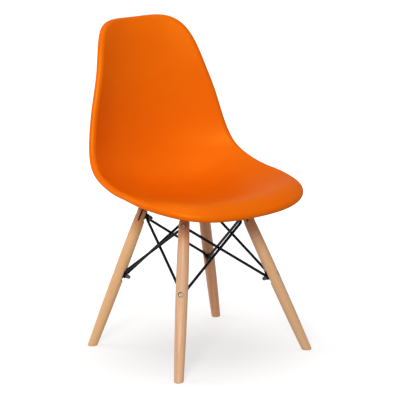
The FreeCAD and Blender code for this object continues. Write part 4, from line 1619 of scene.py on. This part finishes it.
@dataclass
class JointHardware:
    """Bolts, cap nuts and backing plates at the upper and middle joints of the legs."""

    head_radius: float = 4.9
    head_height: float = 4.0
    head_rounding: float = 0.6
    head_edge: float = 0.2
    socket_edge: float = 0.3
    nut_width: float = 10.0
    nut_corner: float = 5.6
    nut_height: float = 5.0
    nut_edge: float = 0.4
    cap_radius: float = 4.75
    cap_height: float = 12.0
    nut_bore: float = 9.0
    thread_gap: float = 0.1
    plate_width: float = 14.0
    plate_height: float = 20.0
    plate_rounding: float = 4.0
    plate_edge: float = 0.25
    corner_steps: int = 8

    @property
    def nut_face(self) -> float:
        """Distance of the nuts' seat from the leg's axis."""
        return JOINT_FLAT + PLATE_THICKNESS + 2 * EYE_THICKNESS

    def bolt(self) -> Object:
        """Make a socket-head bolt with Z outwards.

        Returns:
            A closed template.
        """
        floor, edge = COUNTERBORE_FLOOR, self.head_edge
        top = floor + self.head_height
        tip = -(self.nut_face + self.nut_bore - END_GAP)
        rounding = self.head_rounding
        corner = SOCKET_WIDTH / math.sqrt(3)
        shaft = [(tip, BOLT_RADIUS - THREAD_LEAD_IN), (tip + THREAD_LEAD_IN, BOLT_RADIUS),
                 (floor - edge, BOLT_RADIUS), (floor, BOLT_RADIUS + edge)]
        head = [(floor, self.head_radius - edge), (floor + edge, self.head_radius),
                (top - rounding, self.head_radius),
                (top - rounding * 0.3, self.head_radius - rounding * 0.3),
                (top, self.head_radius - rounding), (top, corner + 0.35)]
        socket = [(top - self.socket_edge, corner + 0.02, SOCKET_WIDTH + 0.05),
                  (top - SOCKET_DEPTH, corner + 0.02, SOCKET_WIDTH),
                  (top - SOCKET_DEPTH - 0.6, BORE_END_RADIUS, None)]
        return loft("bolt", turned([(*station, None) for station in shaft + head] + socket))

    def cap_nut(self) -> Object:
        """Make a domed nut with its bore, drawn with Z outwards from the leg's axis.

        Returns:
            A closed template.
        """
        seat, edge = -self.nut_face, self.nut_edge
        corner, cone = self.nut_corner, self.nut_width / 2 + 0.1
        far = seat - self.nut_height
        crown = seat - self.cap_height + self.cap_radius
        bore = BOLT_RADIUS + self.thread_gap
        stations = [(seat - self.nut_bore, BORE_END_RADIUS, None), (seat - self.nut_bore, bore, None),
                    (seat - edge, bore, None), (seat, bore + edge, None), (seat, cone, None),
                    (seat - edge, corner, self.nut_width), (far + 0.5, corner, self.nut_width),
                    (far, cone, self.nut_width), (far, self.cap_radius + 0.2, None),
                    (far - 0.2, self.cap_radius, None)]
        for degrees in range(0, 91, 9):
            angle = math.radians(degrees)
            stations.append((crown - self.cap_radius * math.sin(angle),
                             max(self.cap_radius * math.cos(angle), 0.3), None))
        return loft("cap_nut", turned(stations))

    def plate(self) -> Object:
        """Make a backing plate with rounded corners and its hole.

        Returns:
            A closed template.
        """
        rounding, edge = self.plate_rounding, self.plate_edge
        reach_x, reach_y = self.plate_width / 2 - rounding, self.plate_height / 2 - rounding
        corners = []
        for number, (side_x, side_y) in enumerate(((1, -1), (1, 1), (-1, 1), (-1, -1))):
            for step in range(self.corner_steps):
                angle = math.radians(90 * (number - 1) + 90 * step / (self.corner_steps - 1))
                corners.append((side_x * reach_x + rounding * math.cos(angle),
                                side_y * reach_y + rounding * math.sin(angle)))
        outline = np.array(corners)
        angles = np.arctan2(outline[:, 1], outline[:, 0])
        hole = np.stack([np.cos(angles), np.sin(angles)], axis=1) * HOLE_RADIUS
        back, face = -JOINT_FLAT, -JOINT_FLAT - PLATE_THICKNESS
        inset = outline * (1 - 2 * edge / self.plate_width)
        rows = [(hole, back), (inset, back), (outline, back - edge), (outline, face + edge),
                (inset, face), (hole, face), (hole, back)]
        loops = [np.column_stack([flat, np.full(len(flat), height)]) for flat, height in rows]
        return loft("plate", loops, False, False)

    def build(self) -> list[Object]:
        """Build and dress the hardware of all eight joints.

        Returns:
            The pieces, one for each kind of part and height.
        """
        outs = np.array([axis.outward for axis in LEG_AXES])
        ups = np.array([axis.up for axis in LEG_AXES])
        return [scatter(f"{place}_{node}", template(), np.array([axis.at(height) for axis in LEG_AXES]),
                        outs, ups, finish)
                for place, height in (("upper", UPPER_JOINT), ("middle", MIDDLE_JOINT))
                for node, template, finish in (("leg_bolts", self.bolt, ZINC_FINISH),
                                               ("cap_nuts", self.cap_nut, NUT_FINISH),
                                               ("joint_plates", self.plate, BLACK_FINISH))]


@dataclass
class SeatFixings:
    """Inserts, pads, washers and screws that hold the seat to the cross bars."""

    insert_radius: float = 4.5
    insert_length: float = 12.0
    insert_bore: float = 3.1
    insert_edge: float = 0.3
    pad_radius: float = 13.0
    pad_edge: float = 0.35
    washer_radius: float = 6.5
    washer_thickness: float = 1.2
    washer_edge: float = 0.15
    head_radius: float = 5.4
    head_height: float = 3.2

    @staticmethod
    def tube(name: str, outer: float, inner: float, low: float, high: float, edge: float) -> Object:
        """Make a short tube with broken edges.

        Args:
            name: the template's name.
            outer: outer radius.
            inner: inner radius.
            low: lower face's height.
            high: upper face's height.
            edge: width of the broken edges.

        Returns:
            A closed tube.
        """
        stations = [(low + edge, inner), (low, inner + edge), (low, outer - edge), (low + edge, outer),
                    (high - edge, outer), (high, outer - edge), (high, inner + edge),
                    (high - edge, inner), (low + edge, inner)]
        return loft(name, turned([(*station, None) for station in stations]), False, False)

    def screw(self) -> Object:
        """Make a button-head screw, head down.

        Returns:
            A closed template.
        """
        under_head = -(PAD_THICKNESS + BAR_THICKNESS + self.washer_thickness)
        low = under_head - self.head_height
        tip = self.insert_length - END_GAP
        corner = SOCKET_WIDTH / math.sqrt(3)
        stations = [(low + SOCKET_DEPTH + 0.5, BORE_END_RADIUS, None),
                    (low + SOCKET_DEPTH, corner, SOCKET_WIDTH),
                    (low + 0.25, corner, SOCKET_WIDTH), (low, corner + 0.3, None)]
        for degrees in range(0, 91, 15):
            angle = math.radians(degrees)
            stations.append((low + 0.02 + (self.head_height - 0.1) * (1 - math.cos(angle)),
                             corner + 0.5 + (self.head_radius - corner - 0.5) * math.sin(angle), None))
        stations += [(under_head, self.head_radius - 0.1, None), (under_head, BOLT_RADIUS, None),
                     (tip - THREAD_LEAD_IN, BOLT_RADIUS, None), (tip, BOLT_RADIUS - THREAD_LEAD_IN, None)]
        return loft("screw", turned(stations))

    def build(self) -> list[Object]:
        """Build and dress the fixings of the four bosses.

        Returns:
            The pieces, one for each kind of part.
        """
        places = np.array([(*place, BOSS_FACE) for place in boss_centres()])
        outs = np.tile((0.0, 0.0, 1.0), (4, 1))
        ups = np.array([axis.radial for axis in LEG_AXES])
        below = -(PAD_THICKNESS + BAR_THICKNESS)
        kinds = (
            ("boss_inserts", BRASS_FINISH, self.tube("insert", self.insert_radius, self.insert_bore, 0.0,
                                                     self.insert_length, self.insert_edge)),
            ("seat_pads", RUBBER_FINISH, self.tube("pad", self.pad_radius, HOLE_RADIUS, -PAD_THICKNESS,
                                                   0.0, self.pad_edge)),
            ("seat_screw_washers", ZINC_FINISH, self.tube("washer", self.washer_radius, HOLE_RADIUS,
                                                          below - self.washer_thickness, below,
                                                          self.washer_edge)),
            ("seat_screws", ZINC_FINISH, self.screw()))
        return [scatter(node, template, places, outs, ups, finish) for node, finish, template in kinds]


# Studio


@dataclass(frozen=True)
class PaperSweep:
    """Matt paper sweep, grey where lamps light it, with a glow that grows away from the chair.

    To the eye it is white paper with a soft shadow under the chair: the chair's real shadow, and
    painted shadow where the glow is dimmer near the chair. Only what sees it directly gets the
    glow, so that it doesn't light the chair. Its fibres are about 0.02 mm thick, and are drawn at
    2.5 mm so that they show.
    """

    name: str = "matt white paper"
    paper: str = "#A8A8A8"
    # The glow is weakest at the middle and grows to full over the reach, which paints a shadow round the
    # chair.
    middle: tuple[float, float, float] = (0.0, -0.01, 0.0)
    reach: Span = (0.08, 0.88)
    glow: Span = (0.54, 0.98)
    fibre_mm: float = 2.5

    def material(self) -> bpy.types.Material:
        """Make the paper with its glow.

        Returns:
            The material.
        """
        made = bpy.data.materials.new(self.name)
        made.use_nodes = True
        tree = made.node_tree
        tree.nodes.clear()
        place = add_node(tree, "ShaderNodeTexCoord").outputs["Object"]
        fibre = add_node(tree, "ShaderNodeTexNoise", Vector=place, Scale=1 / (self.fibre_mm * MM),
                         Detail=2.0).outputs["Fac"]
        normal = add_node(tree, "ShaderNodeBump", Height=fibre, Strength=0.05,
                          Distance=0.05 * MM).outputs["Normal"]
        paper = add_node(tree, "ShaderNodeBsdfPrincipled", Base_Color=linear(self.paper), Roughness=0.9,
                         Normal=normal).outputs[0]
        # Dimmer glow near the chair: painted shadow.
        away = add_node(tree, "ShaderNodeVectorMath", operation="DISTANCE", Vector=place,
                        Vector_001=self.middle).outputs["Value"]
        share = add_node(tree, "ShaderNodeMapRange", Value=away, From_Min=self.reach[0],
                         From_Max=self.reach[1], To_Min=self.glow[0],
                         To_Max=self.glow[1]).outputs["Result"]
        strength = add_node(tree, "ShaderNodeMath", operation="MULTIPLY", Value=seen_directly(tree),
                            Value_001=share).outputs[0]
        glow = add_node(tree, "ShaderNodeEmission", Strength=strength).outputs[0]
        both = add_node(tree, "ShaderNodeAddShader", Shader=paper, Shader_001=glow).outputs[0]
        add_node(tree, "ShaderNodeOutputMaterial", Surface=both)
        return made


def seen_directly(tree: Tree) -> Socket:
    """Add nodes that give 1 to camera, glossy and transmission rays, and 0 to the rest.

    Args:
        tree: the tree that gets the nodes.

    Returns:
        The socket with the result.
    """
    rays = add_node(tree, "ShaderNodeLightPath").outputs
    seen = rays["Is Camera Ray"]
    for other in ("Is Glossy Ray", "Is Transmission Ray"):
        seen = add_node(tree, "ShaderNodeMath", operation="MAXIMUM", Value=seen,
                        Value_001=rays[other]).outputs[0]
    return seen


def stand(name: str, data: bpy.types.ID, place: Sequence[float], axes: Sequence[np.ndarray]) -> Object:
    """Stand a camera or a lamp in the scene.

    Args:
        name: the object's name.
        data: the camera or the lamp.
        place: where it stands, in metres.
        axes: directions of its right, its top and its back.

    Returns:
        The object.
    """
    made = bpy.data.objects.new(name, data)
    bpy.context.scene.collection.objects.link(made)
    matrix = np.eye(4)
    matrix[:3, :3] = np.stack(axes, axis=1)
    matrix[:3, 3] = place
    made.matrix_world = Matrix(matrix.tolist())
    return made


@dataclass(frozen=True)
class Lamp:
    """A square soft lamp: its place and the goal it faces in metres, its side and its watts."""

    name: str
    place: tuple[float, float, float]
    goal: tuple[float, float, float]
    size: float
    power: float

    def build(self) -> None:
        """Make the lamp."""
        data = bpy.data.lights.new(self.name, "AREA")
        data.size = self.size
        data.energy = self.power
        back = unit(np.array(self.place) - np.array(self.goal))
        side = unit(np.cross((0.0, 0.0, 1.0), back))
        stand(self.name, data, self.place, (side, np.cross(back, side), back))


@dataclass
class Studio:
    """Camera, lamps, world and floor. Angles are in degrees, and lens and sensor in millimetres."""

    place: tuple[float, float, float] = (-2.40107, -3.47985, 1.33407)
    yaw: float = 34.7786
    pitch: float = -12.6863
    roll: float = -2.05798
    lens: float = 157.5
    sensor: float = 36.0
    world_strength: float = 0.36
    floor_reach: float = 9000.0
    lamps: tuple[Lamp, ...] = (
        Lamp("key", (-3.03, -3.27, 2.62), (0.0, 0.0, 0.35), 1.4, 150.0),
        Lamp("overhead", (0.0, -0.05, 3.4), (0.0, 0.0, 0.0), 2.2, 20.0),
        Lamp("back fill", (-2.5, 3.0, 2.2), (0.0, 0.0, 0.4), 2.4, 35.0))

    def camera(self) -> None:
        """Make the camera at the photograph's viewing angle."""
        yaw, pitch, roll = (math.radians(angle) for angle in (self.yaw, self.pitch, self.roll))
        ahead = np.array([math.sin(yaw) * math.cos(pitch), math.cos(yaw) * math.cos(pitch),
                          math.sin(pitch)])
        level = unit(np.cross(ahead, (0.0, 0.0, 1.0)))
        right = level * math.cos(roll) + np.cross(level, ahead) * math.sin(roll)
        data = bpy.data.cameras.new("camera")
        data.lens = self.lens
        data.sensor_width = self.sensor
        data.clip_end = 100.0
        bpy.context.scene.camera = stand("camera", data, self.place,
                                         (right, np.cross(right, ahead), -ahead))

    def world(self) -> None:
        """Light the room evenly, and show white behind the chair."""
        made = bpy.data.worlds.new("studio")
        made.use_nodes = True
        tree = made.node_tree
        tree.nodes.clear()
        strength = add_node(tree, "ShaderNodeMapRange", Value=seen_directly(tree),
                            To_Min=self.world_strength, To_Max=1.0).outputs["Result"]
        light = add_node(tree, "ShaderNodeBackground", Color=linear("#FFFFFF"),
                         Strength=strength).outputs[0]
        add_node(tree, "ShaderNodeOutputWorld", Surface=light)
        bpy.context.scene.world = made

    def floor(self) -> None:
        """Lay a wide floor of paper."""
        reach = self.floor_reach
        corners = [(-reach, -reach, 0), (reach, -reach, 0), (reach, reach, 0), (-reach, reach, 0)]
        floor = new_object("studio_floor", np.array(corners), [(0, 1, 2, 3)])
        floor.data.materials.append(PaperSweep().material())

    def build(self) -> None:
        """Set up the whole studio."""
        bpy.context.scene.view_settings.view_transform = "Standard"
        self.camera()
        self.world()
        self.floor()
        for lamp in self.lamps:
            lamp.build()


def main() -> None:
    """Build the studio and every piece of the chair, in order."""
    logging.basicConfig(level=logging.INFO, format="%(name)s: %(message)s")
    Studio().build()
    for assembly in (SeatShell(), TurnedLegs(), CrossBars(), BraceRods(), JointHardware(), SeatFixings()):
        pieces = assembly.build()
        LOG.info("%s: %d pieces", type(assembly).__name__, len(pieces))


if __name__ == "__main__":
    main()
